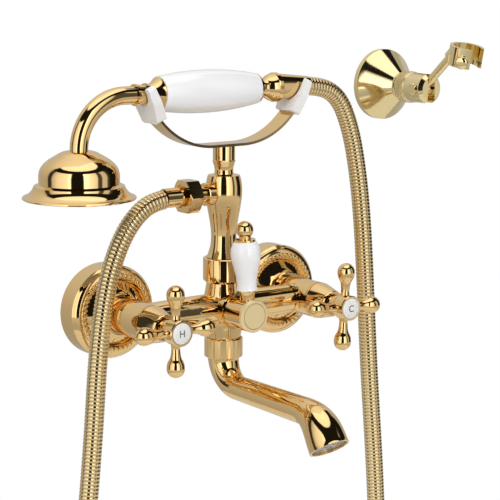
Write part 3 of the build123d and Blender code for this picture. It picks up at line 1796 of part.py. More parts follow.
with BuildPart() as bracket_rose:
    turned(
        rose_plane,
        [
            (0, wall_plate_radius + running_fit),
            (0, rose_radius),
            (rose_rim_depth, rose_radius),
            (rose_rim_depth + edge_break, rose_radius - edge_break),
            (rose_cone_depth, rose_cone_radius),
            (rose_cone_depth + edge_break, rose_ring_radius),
            (rose_ring_depth - edge_break, rose_ring_radius),
            (rose_ring_depth, rose_ring_radius - edge_break),
            (rose_ring_depth, rose_stud_radius),
            (rose_stud_depth, rose_stud_radius),
            (rose_stud_depth, 0),
            (rose_cone_depth - rose_rim_depth, 0),
            (rose_cone_depth - rose_rim_depth, rose_cone_radius - wall_thickness),
            (wall_plate_thickness + seat_gap, wall_plate_radius + running_fit),
        ],
    )
bracket_rose.part.label = "bracket_rose"
export_step(bracket_rose.part, "parts/bracket_rose.step")

with BuildPart() as bracket_wall_plate:
    with BuildSketch(across(rose_plane, 0)):
        Circle(wall_plate_radius)
        with GridLocations(wall_screw_spacing, 0, 2, 1):
            Circle(wall_screw_neck_radius + running_fit, mode=Mode.SUBTRACT)
    extrude(amount=wall_plate_thickness)
bracket_wall_plate.part.label = "bracket_wall_plate"
export_step(bracket_wall_plate.part, "parts/bracket_wall_plate.step")

with BuildPart() as bracket_wall_screws:
    with BuildSketch(across(rose_plane, wall_plate_thickness)):
        with GridLocations(wall_screw_spacing, 0, 2, 1):
            Circle(wall_screw_head_radius)
    extrude(amount=wall_screw_head_height)
    with BuildSketch(across(rose_plane, wall_plate_thickness)):
        with GridLocations(wall_screw_spacing, 0, 2, 1):
            Circle(wall_screw_neck_radius)
    extrude(amount=-wall_plate_thickness - wall_screw_neck_overhang)
    with BuildSketch(across(rose_plane, -wall_screw_neck_overhang)):
        with GridLocations(wall_screw_spacing, 0, 2, 1):
            Circle(wall_screw_radius)
    extrude(amount=-wall_screw_thread_length)
bracket_wall_screws.part.label = "bracket_wall_screws"
export_step(bracket_wall_screws.part, "parts/bracket_wall_screws.step")

with BuildPart() as bracket_knuckle_nut:
    turned(
        rose_plane,
        [
            (knuckle_back, rose_stud_radius + running_fit),
            (knuckle_back, knuckle_radius - knuckle_edge),
            (knuckle_back + knuckle_edge, knuckle_radius),
            (knuckle_front - knuckle_edge, knuckle_radius),
            (knuckle_front, knuckle_radius - knuckle_edge / 2),
            (knuckle_front, clevis_shank_radius + running_fit),
            (knuckle_web_front, clevis_shank_radius + running_fit),
            (knuckle_web_front, rose_stud_radius + running_fit),
        ],
    )
bracket_knuckle_nut.part.label = "bracket_knuckle_nut"
export_step(bracket_knuckle_nut.part, "parts/bracket_knuckle_nut.step")

pivot_centre = across(rose_plane, pivot_depth).origin
pin_plane = Plane(origin=pivot_centre, x_dir=forward, z_dir=leftward)
pin_axis_plane = turning_plane(tuple(pivot_centre), leftward)

with BuildPart() as bracket_clevis:
    turned(
        rose_plane,
        [
            (clevis_shank_back, 0),
            (clevis_shank_back, clevis_shank_radius),
            (clevis_back, clevis_shank_radius),
            (clevis_back, clevis_radius),
            (clevis_front - clevis_edge, clevis_radius),
            (clevis_front, clevis_radius - clevis_edge),
            (clevis_front, 0),
        ],
    )
    slot_length = clevis_front - clevis_slot_back + cut_overrun
    with BuildSketch(pin_plane):
        with Locations((clevis_slot_back - pivot_depth + slot_length / 2, 0)):
            Rectangle(slot_length, 2 * clevis_radius + 2 * cut_overrun)
    extrude(amount=clevis_slot_width / 2, both=True, mode=Mode.SUBTRACT)
    turned_ring(
        pin_axis_plane,
        -clevis_radius - cut_overrun,
        clevis_radius + cut_overrun,
        pivot_radius + running_fit,
        0,
        Mode.SUBTRACT,
    )
bracket_clevis.part.label = "bracket_clevis"
export_step(bracket_clevis.part, "parts/bracket_clevis.step")

with BuildPart() as bracket_pivot_pin:
    turned_ring(pin_axis_plane, -clevis_radius, clevis_radius, pivot_radius)
    turned(
        pin_axis_plane,
        [
            (clevis_radius, 0),
            (clevis_radius, pivot_head_radius),
            (clevis_radius + pivot_head_length - edge_break, pivot_head_radius),
            (clevis_radius + pivot_head_length, pivot_head_radius - edge_break),
            (clevis_radius + pivot_head_length, 0),
        ],
    )
bracket_pivot_pin.part.label = "bracket_pivot_pin"
export_step(bracket_pivot_pin.part, "parts/bracket_pivot_pin.step")

rise = radians(arm_rise)
tilt = radians(clip_tilt)
arm_way = (0, -cos(rise), sin(rise))
arm_plane = turning_plane(tuple(pivot_centre), arm_way, rightward)
arm_side = Vector(0, -sin(rise), -cos(rise))
clip_reach = arm_length + clip_setback
clip_centre = pivot_centre + Vector(*arm_way) * clip_reach + arm_side * clip_side_step
clip_front = Vector(0, -cos(tilt), -sin(tilt))
clip_axis = Vector(0, -sin(tilt), cos(tilt))


def clip_way(turn):
    """The direction square to the clip's axis, so many degrees to the left of its front."""
    return clip_front * cos(radians(turn)) + Vector(*leftward) * sin(radians(turn))


with BuildPart() as bracket_arm:
    with BuildSketch(pin_plane):
        Circle(arm_eye_radius)
    extrude(amount=arm_eye_width / 2, both=True)
    turned_ring(arm_plane, 0, arm_length, arm_radius)
    turned_ring(
        pin_axis_plane,
        -arm_eye_width,
        arm_eye_width,
        pivot_radius + running_fit,
        0,
        Mode.SUBTRACT,
    )
bracket_arm.part.label = "bracket_arm"
export_step(bracket_arm.part, "parts/bracket_arm.step")

button_centre = clip_centre - clip_axis * button_drop
button_plane = turning_plane(tuple(button_centre), tuple(clip_way(button_turn)), tuple(clip_axis))

with BuildPart() as bracket_clip:
    clip_plane = Plane(origin=clip_centre, x_dir=clip_way(-clip_mouth_turn), z_dir=clip_axis)
    with BuildSketch(clip_plane):
        Circle(clip_outer_radius)
    extrude(amount=clip_height / 2, both=True)
    turned_ring(
        arm_plane, arm_length - clip_boss_length, arm_length + cut_overrun, clip_boss_radius
    )
    with BuildSketch(clip_plane):
        Circle(clip_inner_radius)
        with Locations((clip_outer_radius, 0)):
            Rectangle(2 * clip_outer_radius, clip_mouth_width)
    extrude(amount=clip_height, both=True, mode=Mode.SUBTRACT)
    turned_ring(arm_plane, 0, arm_length, arm_radius + running_fit, 0, Mode.SUBTRACT)
    turned_ring(
        button_plane,
        0,
        clip_outer_radius + cut_overrun,
        button_shank_radius + running_fit,
        0,
        Mode.SUBTRACT,
    )
bracket_clip.part.label = "bracket_clip"
export_step(bracket_clip.part, "parts/bracket_clip.step")

with BuildPart() as bracket_clip_button:
    head_back = clip_outer_radius + running_fit
    turned_ring(
        button_plane, head_back - button_shank_length, head_back, button_shank_radius
    )
    with BuildSketch(button_plane):
        with BuildLine():
            crown = Spline(
                (head_back + edge_break, button_radius),
                (head_back + button_rise, 0),
                tangents=((1, 0), (0, -1)),
            )
            Polyline(crown @ 1, (head_back, 0), (head_back, button_radius), crown @ 0)
        make_face()
    spin(button_plane)
bracket_clip_button.part.label = "bracket_clip_button"
export_step(bracket_clip_button.part, "parts/bracket_clip_button.step")

# Shower hose: a ribbed tube with its bore, along straight runs joined by tangent arcs
route = [Vector(x, -body_reach, z) for x, z in hose_route]
runs = [b - a for a, b in zip(route, route[1:])]
turns = [before.get_angle(after) for before, after in zip(runs, runs[1:])]
bend_radii = [
    route_tangent_share * min(before.length, after.length) / tan(radians(turn) / 2)
    for before, after, turn in zip(runs, runs[1:], turns)
]
print("hose bend radii", [round(radius) for radius in bend_radii])


def hose_plane(distance):
    """The plane square to the hose's line at a distance along it, with a steady X axis."""
    return Plane(
        origin=hose_path.position_at(distance, PositionMode.LENGTH),
        x_dir=(0, 1, 0),
        z_dir=hose_path.tangent_at(distance, PositionMode.LENGTH),
    )


with BuildPart() as shower_hose:
    with BuildLine() as hose_line:
        FilletPolyline(*route, radius=bend_radii)
    hose_path = hose_line.wire()
    for distance in (0, hose_end_length):
        with BuildSketch(hose_plane(distance)):
            Circle(hose_end_radius)
    for rib_number in range(hose_rib_count):
        rib_pitch = (hose_path.length - 2 * hose_end_length) / hose_rib_count
        rib_start = hose_end_length + rib_pitch * rib_number
        rib_radii = (hose_valley_radius, hose_radius, hose_radius, hose_valley_radius)
        for circle_share, rib_radius in zip(rib_circle_shares, rib_radii):
            with BuildSketch(hose_plane(rib_start + rib_pitch * circle_share)):
                Circle(rib_radius)
    for distance in (hose_path.length - hose_end_length, hose_path.length):
        with BuildSketch(hose_plane(distance)):
            Circle(hose_end_radius)
    loft(ruled=True)
    with BuildSketch(hose_plane(0)):
        Circle(hose_bore_radius)
    sweep(path=hose_path, mode=Mode.SUBTRACT)
    turned_ring(
        handset_plane,
        hose_seat_place,
        hose_seat_place + hose_flange_thickness,
        hose_flange_radius,
        hose_end_radius - edge_break,
    )
shower_hose.part.label = "shower_hose"
export_step(shower_hose.part, "parts/shower_hose.step")
rib_spaces = [
    (hose_plane(distance).origin - hose_plane(distance + 4 * hose_radius).origin).length
    for distance in range(0, int(hose_path.length) - 4 * hose_radius, hose_radius)
]
print("hose length", round(hose_path.length, 1))
print("least straight gap of the hose to itself", round(min(rib_spaces) - 2 * hose_radius, 1))
valley_section = pi * (hose_valley_radius**2 - hose_bore_radius**2)
crest_section = pi * (hose_radius**2 - hose_bore_radius**2)
crest_share = (
    rib_circle_shares[2] - rib_circle_shares[1] + rib_circle_shares[3] - rib_circle_shares[0]
) / 2
mean_section = valley_section + (crest_section - valley_section) * crest_share
print("hose volume share", round(shower_hose.part.volume / (mean_section * hose_path.length), 4))
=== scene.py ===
import json
import math

import bmesh
import bpy
from bpy.props import FloatProperty, FloatVectorProperty, IntProperty, PointerProperty
from mathutils import Matrix, Vector

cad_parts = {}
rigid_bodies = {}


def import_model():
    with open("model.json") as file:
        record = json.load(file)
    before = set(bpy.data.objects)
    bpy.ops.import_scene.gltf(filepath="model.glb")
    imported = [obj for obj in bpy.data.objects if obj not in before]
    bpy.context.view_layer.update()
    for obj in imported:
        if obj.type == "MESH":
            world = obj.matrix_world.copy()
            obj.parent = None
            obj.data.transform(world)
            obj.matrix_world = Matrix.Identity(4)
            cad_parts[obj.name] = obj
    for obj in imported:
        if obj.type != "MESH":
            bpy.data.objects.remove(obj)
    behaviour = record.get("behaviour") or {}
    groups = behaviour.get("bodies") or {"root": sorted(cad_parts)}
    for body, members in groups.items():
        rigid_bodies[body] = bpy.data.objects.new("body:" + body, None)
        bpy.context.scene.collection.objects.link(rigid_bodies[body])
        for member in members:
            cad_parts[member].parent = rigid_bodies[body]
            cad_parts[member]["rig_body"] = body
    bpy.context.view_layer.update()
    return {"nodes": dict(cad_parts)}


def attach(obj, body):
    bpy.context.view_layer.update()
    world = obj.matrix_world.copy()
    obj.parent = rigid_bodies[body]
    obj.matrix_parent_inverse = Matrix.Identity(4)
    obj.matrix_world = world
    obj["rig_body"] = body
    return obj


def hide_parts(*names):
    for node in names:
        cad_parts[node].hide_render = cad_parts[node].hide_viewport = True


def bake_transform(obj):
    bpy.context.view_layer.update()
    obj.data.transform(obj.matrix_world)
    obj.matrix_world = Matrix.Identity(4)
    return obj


bl_info = {
    "name": "Bath Shower Mixer",
    "version": (1, 0, 0),
    "blender": (4, 5, 0),
    "location": "View3D > Sidebar > Mixer",
    "description": "Finishes, hose, trim and studio for a wall mounted bath and shower mixer",
    "category": "Object",
}

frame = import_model()
MM = 0.001
VALVES = {"hot": -75.0, "cold": 75.0}  # X of each valve, in millimetres

# Hose line through these points, X and Z in millimetres, on the plane of the body's axis
HOSE_Y = -50.0
HOSE_POINTS = (
    (61.9, 160.4), (86, 160.4), (106, 151), (117.8, 127), (125.2, 97), (131.2, 57),
    (136, -3), (140.5, -66), (149.5, -160), (154, -245), (152, -330), (133, -400), (95, -452),
    (45, -482), (-8, -487), (-60, -471), (-100, -436), (-125, -384), (-134, -318), (-131, -243),
    (-121, -160), (-113, -84), (-108.5, -22), (-102, 22), (-93, 50.5), (-79.5, 72.5), (-60.5, 85.5),
    (-39, 85.5),
)

# The hose's ends have no ribs and are set in a little, both in metres
HOSE_PLAIN_END = 0.0139
HOSE_END_INSET = 0.0002
SAMPLES_PER_RIB = 6
RIB_FLATNESS = 0.3  # the lower, the flatter the crests

# Trim, in millimetres. A stud's half widths run outwards, along its circle and square to it
BEAD_CIRCLE = 27.3
BEAD_DEPTH = 21.1
BEAD_TURN = 0.5
BEAD_SHAPE = (1.45, 1.0, 0.9)  # as shares of the bead's radius
KNURL_CIRCLE = 12.2
KNURL_SIZE = (0.3, 0.42, 4.8)
KNURL_PLACE = (190, -34.7, 153)
DISC_LINE_COUNT = 90
DISC_LINE_CIRCLE = 9.4
DISC_LINE_SIZE = (0.24, 0.7, 0.16)
DISC_LINE_PLACE = (0, -88.95, 0)
NOZZLE_RINGS = ((9.6, 6), (19.2, 12), (28.8, 18))  # radius and number of nozzles
NOZZLE_SIZE = (1.4, 1.4, 1.1)
NOZZLE_PLACE = (-122, -50, 91.7)
LETTER_DEPTH = 107.02
LETTER_RELIEF = 0.08
LETTER_TURNS = {"hot": 0, "cold": 3}  # in degrees
FONT_SIZE_SHARE = 1.35  # of the height of a capital letter

# Points nearer than the first distance are merged, and edges shorter than the second go
MERGE_DISTANCE = 2e-6
SLIVER_LENGTH = 1e-6
CREASE_DEGREES = 32
GRAIN_HEIGHT = 0.0002

CAMERA_LENS = 130.13
CAMERA_PLACE = (-0.7544, -1.1157, 0.2722)
CAMERA_AXES = (
    (0.80811, -0.58908, 0.00498), (0.09782, 0.14252, 0.98495), (-0.58091, -0.79543, 0.17279))
KEY_PLACE = (-1.3, -1.2, 1.5)
KEY_WIDTH = 1.2
FILL_PLACE = (1.5, -1.3, 0.7)
FILL_WIDTH = 1.0
LAMP_TARGET = (0, -0.05, 0.04)
FLOOR_MIDDLE = -0.1

# The room that the plating mirrors. A stop is a place and a brightness. Turns run from behind
# the object at 0, by its left at a quarter, to the camera at a half and its right at three
# quarters. Rises run from straight below at 0 to straight above at 1
TOWARDS_CAMERA = (-0.5898, -0.8076, 0)
RIGHT_OF_CAMERA = (0.8076, -0.5898, 0)
ROOM_SIDES = (
    (0.00, 0.05), (0.09, 0.04), (0.12, 0.10), (0.16, 0.24), (0.235, 0.22), (0.245, 0.02),
    (0.275, 0.02), (0.29, 0.28), (0.33, 0.46), (0.42, 0.62), (0.445, 0.95),
    (0.455, 0.005), (0.548, 0.005), (0.558, 1.0), (0.60, 0.66), (0.66, 0.44),
    (0.67, 0.04), (0.70, 0.04), (0.71, 0.34), (0.75, 0.30), (0.76, 0.04), (0.79, 0.005),
    (0.865, 0.005), (0.875, 0.24), (0.93, 0.16), (0.95, 0.03), (1.00, 0.04))
ROOM_LEVELS = (
    (0.00, 0.17), (0.30, 0.24), (0.36, 0.30), (0.60, 0.22), (0.815, 0.005), (0.92, 0.005),
    (0.93, 0.60), (1.00, 0.70))
ROOM_BAND = ((0.385, 0), (0.40, 1), (0.805, 1), (0.815, 0))
ROOM_BACKDROP = ((0.00, 0.16), (0.50, 0.24), (0.80, 0.32), (1.00, 0.50))
ROOM_AHEAD = ((0.21, 0), (0.24, 1), (0.905, 1), (0.92, 0))
ROOM_TINT = (1.0, 0.99, 0.965, 1)
ROOM_STRENGTH = 2.2

GOLD_NODES = (
    "mixer_body", "hot_wall_flange", "cold_wall_flange", "hot_union_nut", "cold_union_nut",
    "hot_bonnet", "cold_bonnet", "hot_handle", "cold_handle", "diverter_drum",
    "diverter_lever_neck", "diverter_lever_finial", "riser_nut",
    "riser_column", "outlet_nipple", "hose_hex_nut", "hose_ferrule", "cradle_strap",
    "cradle_screw", "spout_nut", "spout", "handset_elbow", "shower_head", "handset_collar",
    "handset_end_fitting", "hose_cone_nut",
)
BRACKET_NODES = (
    "bracket_rose", "bracket_clevis", "bracket_pivot_pin", "bracket_arm", "bracket_clip",
    "bracket_clip_button",
)
OTHER_NODES = {
    "bracket_knuckle_nut": "knurled_gold",
    "diverter_disc": "satin_gold",
    "diverter_lever_grip": "white_porcelain",
    "handset_grip": "white_porcelain",
    "left_yoke": "white_nylon",
    "right_yoke": "white_nylon",
    "hot_index": "white_enamel",
    "cold_index": "white_enamel",
    "aerator": "grey_plastic",
    "spray_plate": "grey_plastic",
    "hot_inlet_union": "raw_brass",
    "cold_inlet_union": "raw_brass",
    "hot_cartridge": "raw_brass",
    "cold_cartridge": "raw_brass",
    "hot_spindle": "raw_brass",
    "cold_spindle": "raw_brass",
    "diverter_cartridge": "raw_brass",
    "diverter_spindle": "raw_brass",
    "handset_tube": "raw_brass",
    "inlet_washers": "black_rubber",
    "riser_washer": "black_rubber",
    "outlet_washer": "black_rubber",
    "spout_o_ring": "black_rubber",
    "hot_handle_screw": "plain_steel",
    "cold_handle_screw": "plain_steel",
    "bracket_wall_plate": "plain_steel",
    "bracket_wall_screws": "plain_steel",
}


class MixerFinishes(bpy.types.PropertyGroup):
    gold: FloatVectorProperty(
        name="Gold", description="Main colour of the plated parts", subtype="COLOR",
        size=3, min=0, max=1, default=(0.88, 0.625, 0.30))
    gold_deep: FloatVectorProperty(
        name="Deep gold", description="Colour of the thicker patches of plating",
        subtype="COLOR", size=3, min=0, max=1, default=(0.86, 0.59, 0.265))
    bracket_gold: FloatVectorProperty(
        name="Bracket gold", description="Paler plating of the wall bracket",
        subtype="COLOR", size=3, min=0, max=1, default=(0.90, 0.74, 0.40))
    hose_gold: FloatVectorProperty(
        name="Hose gold", description="Colour of the crests of the hose", subtype="COLOR",
        size=3, min=0, max=1, default=(0.84, 0.65, 0.35))
    # The colour between the ribs is painted shade: a near black standing in for the shade that
    # falls into the grooves of the plated hose
    hose_groove_shade: FloatVectorProperty(
        name="Hose groove", description="Colour between the ribs of the hose",
        subtype="COLOR", size=3, min=0, max=1, default=(0.05, 0.028, 0.012))
    polish: FloatProperty(
        name="Polish", description="Roughness of the brightest plating", min=0, max=1,
        subtype="FACTOR", default=0.03)
    porcelain: FloatVectorProperty(
        name="Porcelain", description="Glaze of the two grips", subtype="COLOR", size=3,
        min=0, max=1, default=(0.94, 0.945, 0.965))
    nylon: FloatVectorProperty(
        name="Nylon", description="Colour of the cradle's yokes", subtype="COLOR", size=3,
        min=0, max=1, default=(0.93, 0.925, 0.92))


class MixerHose(bpy.types.PropertyGroup):
    diameter: FloatProperty(
        name="Diameter", description="Outer diameter of the hose", unit="LENGTH",
        default=0.014)
    rib_pitch: FloatProperty(
        name="Rib pitch", description="Distance from one rib to the next", unit="LENGTH",
        default=0.00275)
    rib_depth: FloatProperty(
        name="Rib depth", description="Depth of the grooves between the ribs",
        unit="LENGTH", default=0.0009)
    sides: IntProperty(
        name="Sides", description="Number of faces around the hose", min=8, max=48,
        default=24)


class MixerTrim(bpy.types.PropertyGroup):
    bead_count: IntProperty(
        name="Beads", description="Number of beads around each wall flange", min=12, max=120,
        default=44)
    bead_radius: FloatProperty(
        name="Bead radius", description="Half the width of a bead", unit="LENGTH",
        default=0.0016)
    knurl_count: IntProperty(
        name="Knurls", description="Number of ridges around the bracket's nut", min=12,
        max=120, default=64)
    letter_height: FloatProperty(
        name="Letter height", description="Height of the letters on the handles",
        unit="LENGTH", default=0.0052)


class MixerStudio(bpy.types.PropertyGroup):
    floor_radius: FloatProperty(
        name="Floor radius", description="Radius of the pale floor", unit="LENGTH",
        default=0.85)
    floor_drop: FloatProperty(
        name="Floor drop", description="Depth of the floor below the inlets",
        unit="LENGTH", default=0.56)
    key_power: FloatProperty(
        name="Key power", description="Power of the large softbox", unit="POWER",
        default=16.0)
    fill_power: FloatProperty(
        name="Fill power", description="Power of the fill softbox", unit="POWER",
        default=8.0)


def settings():
    """The four groups of settings on the scene."""
    scene = bpy.context.scene
    return scene.mixer_finishes, scene.mixer_hose, scene.mixer_trim, scene.mixer_studio


def new_material(name):
    """An empty node material with its Principled shader."""
    material = bpy.data.materials.new(name)
    material.use_nodes = True
    return material, material.node_tree, material.node_tree.nodes["Principled BSDF"]


def finish_group():
    """A shared group: soft patches of two colours and a roughness that drifts with them."""
    group = bpy.data.node_groups.get("worn_finish")
    if group:
        return group
    group = bpy.data.node_groups.new("worn_finish", "ShaderNodeTree")
    face = group.interface
    for name, kind in (
        ("Colour", "NodeSocketColor"),
        ("Patch Colour", "NodeSocketColor"),
        ("Patch Scale", "NodeSocketFloat"),
        ("Smooth", "NodeSocketFloat"),
        ("Rough", "NodeSocketFloat"),
        ("Grain Scale", "NodeSocketFloat"),
    ):
        face.new_socket(name=name, in_out="INPUT", socket_type=kind)
    face.new_socket(name="Colour", in_out="OUTPUT", socket_type="NodeSocketColor")
    face.new_socket(name="Roughness", in_out="OUTPUT", socket_type="NodeSocketFloat")
    face.new_socket(name="Grain", in_out="OUTPUT", socket_type="NodeSocketFloat")
    nodes, links = group.nodes, group.links
    enter = nodes.new("NodeGroupInput")
    leave = nodes.new("NodeGroupOutput")
    place = nodes.new("ShaderNodeTexCoord")
    patches = nodes.new("ShaderNodeTexNoise")
    patches.inputs["Detail"].default_value = 3
    grain = nodes.new("ShaderNodeTexNoise")
    grain.inputs["Detail"].default_value = 2
    links.new(place.outputs["Object"], patches.inputs["Vector"])
    links.new(place.outputs["Object"], grain.inputs["Vector"])
    links.new(enter.outputs["Patch Scale"], patches.inputs["Scale"])
    links.new(enter.outputs["Grain Scale"], grain.inputs["Scale"])
    mix = nodes.new("ShaderNodeMix")
    mix.data_type = "RGBA"
    links.new(patches.outputs["Fac"], mix.inputs["Factor"])
    links.new(enter.outputs["Colour"], mix.inputs["A"])
    links.new(enter.outputs["Patch Colour"], mix.inputs["B"])
    spread = nodes.new("ShaderNodeMapRange")
    spread.inputs["From Min"].default_value = 0.35
    spread.inputs["From Max"].default_value = 0.7
    links.new(patches.outputs["Fac"], spread.inputs["Value"])
    links.new(enter.outputs["Smooth"], spread.inputs["To Min"])
    links.new(enter.outputs["Rough"], spread.inputs["To Max"])
    links.new(mix.outputs["Result"], leave.inputs["Colour"])
    links.new(spread.outputs["Result"], leave.inputs["Roughness"])
    links.new(grain.outputs["Fac"], leave.inputs["Grain"])
    return group


def worn_material(name, colour, patch, smooth, rough, metallic=0.0, patch_scale=40,
                  grain_scale=900, bump=0.0, **sockets):
    """A material on the shared finish group, with its own values."""
    material, tree, shader = new_material(name)
    group = tree.nodes.new("ShaderNodeGroup")
    group.node_tree = finish_group()
    group.inputs["Colour"].default_value = (*colour, 1)
    group.inputs["Patch Colour"].default_value = (*patch, 1)
    group.inputs["Patch Scale"].default_value = patch_scale
    group.inputs["Smooth"].default_value = smooth
    group.inputs["Rough"].default_value = rough
    group.inputs["Grain Scale"].default_value = grain_scale
    tree.links.new(group.outputs["Colour"], shader.inputs["Base Color"])
    tree.links.new(group.outputs["Roughness"], shader.inputs["Roughness"])
    shader.inputs["Metallic"].default_value = metallic
    for socket, value in sockets.items():
        shader.inputs[socket.replace("_", " ")].default_value = value
    if bump:
        relief = tree.nodes.new("ShaderNodeBump")
        relief.inputs["Strength"].default_value = bump
        relief.inputs["Distance"].default_value = GRAIN_HEIGHT
        tree.links.new(group.outputs["Grain"], relief.inputs["Height"])
        tree.links.new(relief.outputs["Normal"], shader.inputs["Normal"])
    return material


def hose_material(crest, groove_shade):
    """Plated ribs with near black painted shade in the grooves, read from the hose's own rib
    height.
    """
    material, tree, shader = new_material("ribbed_gold")
    height = tree.nodes.new("ShaderNodeAttribute")
    height.attribute_name = "rib_height"
    mix = tree.nodes.new("ShaderNodeMix")
    mix.data_type = "RGBA"
    # Painted shade: the grooves get the near black colour, blended into the crest colour by the rib
    # height
    mix.inputs["A"].default_value = (*groove_shade, 1)
    mix.inputs["B"].default_value = (*crest, 1)
    tree.links.new(height.outputs["Fac"], mix.inputs["Factor"])
    tree.links.new(mix.outputs["Result"], shader.inputs["Base Color"])
    dull = tree.nodes.new("ShaderNodeMapRange")
    dull.inputs["To Min"].default_value = 0.5
    dull.inputs["To Max"].default_value = 0.09
    tree.links.new(height.outputs["Fac"], dull.inputs["Value"])
    tree.links.new(dull.outputs["Result"], shader.inputs["Roughness"])
    shader.inputs["Metallic"].default_value = 1.0
    return material


def dimmed(colour, share):
    """A colour at a share of its brightness."""
    return tuple(share * channel for channel in colour)


def make_materials():
    """All finishes, by name."""
    look = settings()[0]
    pale = tuple(look.bracket_gold)
    porcelain = tuple(look.porcelain)
    nylon = tuple(look.nylon)
    finishes = {
        "polished_gold": dict(
            colour=tuple(look.gold), patch=tuple(look.gold_deep), smooth=look.polish,
            rough=look.polish + 0.03, metallic=1.0, patch_scale=22, bump=0.004),
        "satin_gold": dict(
            colour=(0.98, 0.80, 0.46), patch=(0.96, 0.77, 0.42), smooth=0.34, rough=0.40,
            metallic=0.6, patch_scale=60, grain_scale=1200, bump=0.02),
        "bracket_gold": dict(
            colour=pale, patch=dimmed(pale, 0.95), smooth=0.07, rough=0.11, metallic=1.0,
            patch_scale=45, grain_scale=1200, bump=0.006),
        "knurled_gold": dict(
            colour=pale, patch=dimmed(pale, 0.85), smooth=0.30, rough=0.42, metallic=1.0,
            grain_scale=1500, bump=0.3),
        "raw_brass": dict(
            colour=(0.62, 0.46, 0.20), patch=(0.50, 0.36, 0.15), smooth=0.28, rough=0.45,
            metallic=1.0, grain_scale=1500, bump=0.15),
        "plain_steel": dict(
            colour=(0.56, 0.56, 0.55), patch=(0.46, 0.46, 0.46), smooth=0.25, rough=0.4,
            metallic=1.0, grain_scale=1200, bump=0.1),
        "white_porcelain": dict(
            colour=porcelain, patch=dimmed(porcelain, 0.97), smooth=0.10, rough=0.16,
            patch_scale=18, grain_scale=260, bump=0.004, Coat_Weight=0.6,
            Coat_Roughness=0.04, IOR=1.52),
        "white_enamel": dict(
            colour=(0.86, 0.86, 0.86), patch=(0.82, 0.82, 0.82), smooth=0.15, rough=0.25,
            Coat_Weight=0.3),
        "white_nylon": dict(
            colour=nylon, patch=dimmed(nylon, 0.95), smooth=0.32, rough=0.45,
            patch_scale=60, grain_scale=700, bump=0.08),
        "grey_plastic": dict(
            colour=(0.42, 0.42, 0.42), patch=(0.36, 0.36, 0.36), smooth=0.35, rough=0.5,
            grain_scale=800, bump=0.1),
        "black_rubber": dict(
            colour=(0.02, 0.02, 0.02), patch=(0.035, 0.035, 0.035), smooth=0.55, rough=0.75,
            grain_scale=600, bump=0.2),
        "letter_ink": dict(
            colour=(0.05, 0.045, 0.04), patch=(0.07, 0.06, 0.05), smooth=0.35, rough=0.5),
    }
    materials = {name: worn_material(name, **values) for name, values in finishes.items()}
    # The hose's material paints shade into its grooves
    materials["ribbed_gold"] = hose_material(tuple(look.hose_gold), tuple(look.hose_groove_shade))
    return materials


MATERIALS = {}  # filled when the parts are dressed


def add_object(name, mesh, material, body=None):
    """Links a finished mesh as a piece that rides on a body, if one is given."""
    piece = bpy.data.objects.new(name, mesh)
    bpy.context.scene.collection.objects.link(piece)
    mesh.materials.clear()
    mesh.materials.append(MATERIALS[material])
    if body:
        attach(piece, body)
    return piece


def skin_of(node, material):
    """A merged and smoothly shaded copy of a CAD node, which it replaces."""
    source = frame["nodes"][node]
    mesh = source.data.copy()
    mesh.name = node + "_skin"
    # The stored corner normals no longer fit once points are merged
    if "custom_normal" in mesh.attributes:
        mesh.attributes.remove(mesh.attributes["custom_normal"])
    shape = bmesh.new()
    shape.from_mesh(mesh)
    bmesh.ops.remove_doubles(shape, verts=shape.verts, dist=MERGE_DISTANCE)
    bmesh.ops.dissolve_degenerate(shape, edges=shape.edges, dist=SLIVER_LENGTH)
    shape.to_mesh(mesh)
    shape.free()
    mesh.shade_smooth()
    mesh.set_sharp_from_angle(angle=math.radians(CREASE_DEGREES))
    piece = add_object(node + "_skin", mesh, material, source["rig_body"])
    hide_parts(node)


def grow(name, tree, values):
    """The plain mesh that a node tree makes with the given input values."""
    carrier_mesh = bpy.data.meshes.new(name + "_carrier")
    carrier = bpy.data.objects.new(name + "_carrier", carrier_mesh)
    bpy.context.scene.collection.objects.link(carrier)
    modifier = carrier.modifiers.new("grow", "NODES")
    modifier.node_group = tree
    for item in tree.interface.items_tree:
        if item.in_out == "INPUT" and item.name in values:
            modifier[item.identifier] = values[item.name]
    bpy.context.view_layer.update()
    ready = carrier.evaluated_get(bpy.context.evaluated_depsgraph_get())
    mesh = bpy.data.meshes.new_from_object(ready)
    mesh.name = name
    bpy.data.objects.remove(carrier)
    bpy.data.meshes.remove(carrier_mesh)
    return mesh


def new_tree(name, inputs):
    """An empty geometry tree with named inputs and one geometry output."""
    tree = bpy.data.node_groups.new(name, "GeometryNodeTree")
    tree.interface.new_socket(name="Geometry", in_out="INPUT", socket_type="NodeSocketGeometry")
    for label, kind in inputs:
        tree.interface.new_socket(name=label, in_out="INPUT", socket_type=kind)
    tree.interface.new_socket(name="Geometry", in_out="OUTPUT", socket_type="NodeSocketGeometry")
    return tree, tree.nodes.new("NodeGroupInput"), tree.nodes.new("NodeGroupOutput")


def end_tree(tree, last, enter, leave):
    """Realises what a tree made and gives it its material."""
    whole = tree.nodes.new("GeometryNodeRealizeInstances")
    paint = tree.nodes.new("GeometryNodeSetMaterial")
    tree.links.new(last, whole.inputs["Geometry"])
    tree.links.new(whole.outputs["Geometry"], paint.inputs["Geometry"])
    tree.links.new(enter.outputs["Material"], paint.inputs["Material"])
    tree.links.new(paint.outputs["Geometry"], leave.inputs["Geometry"])


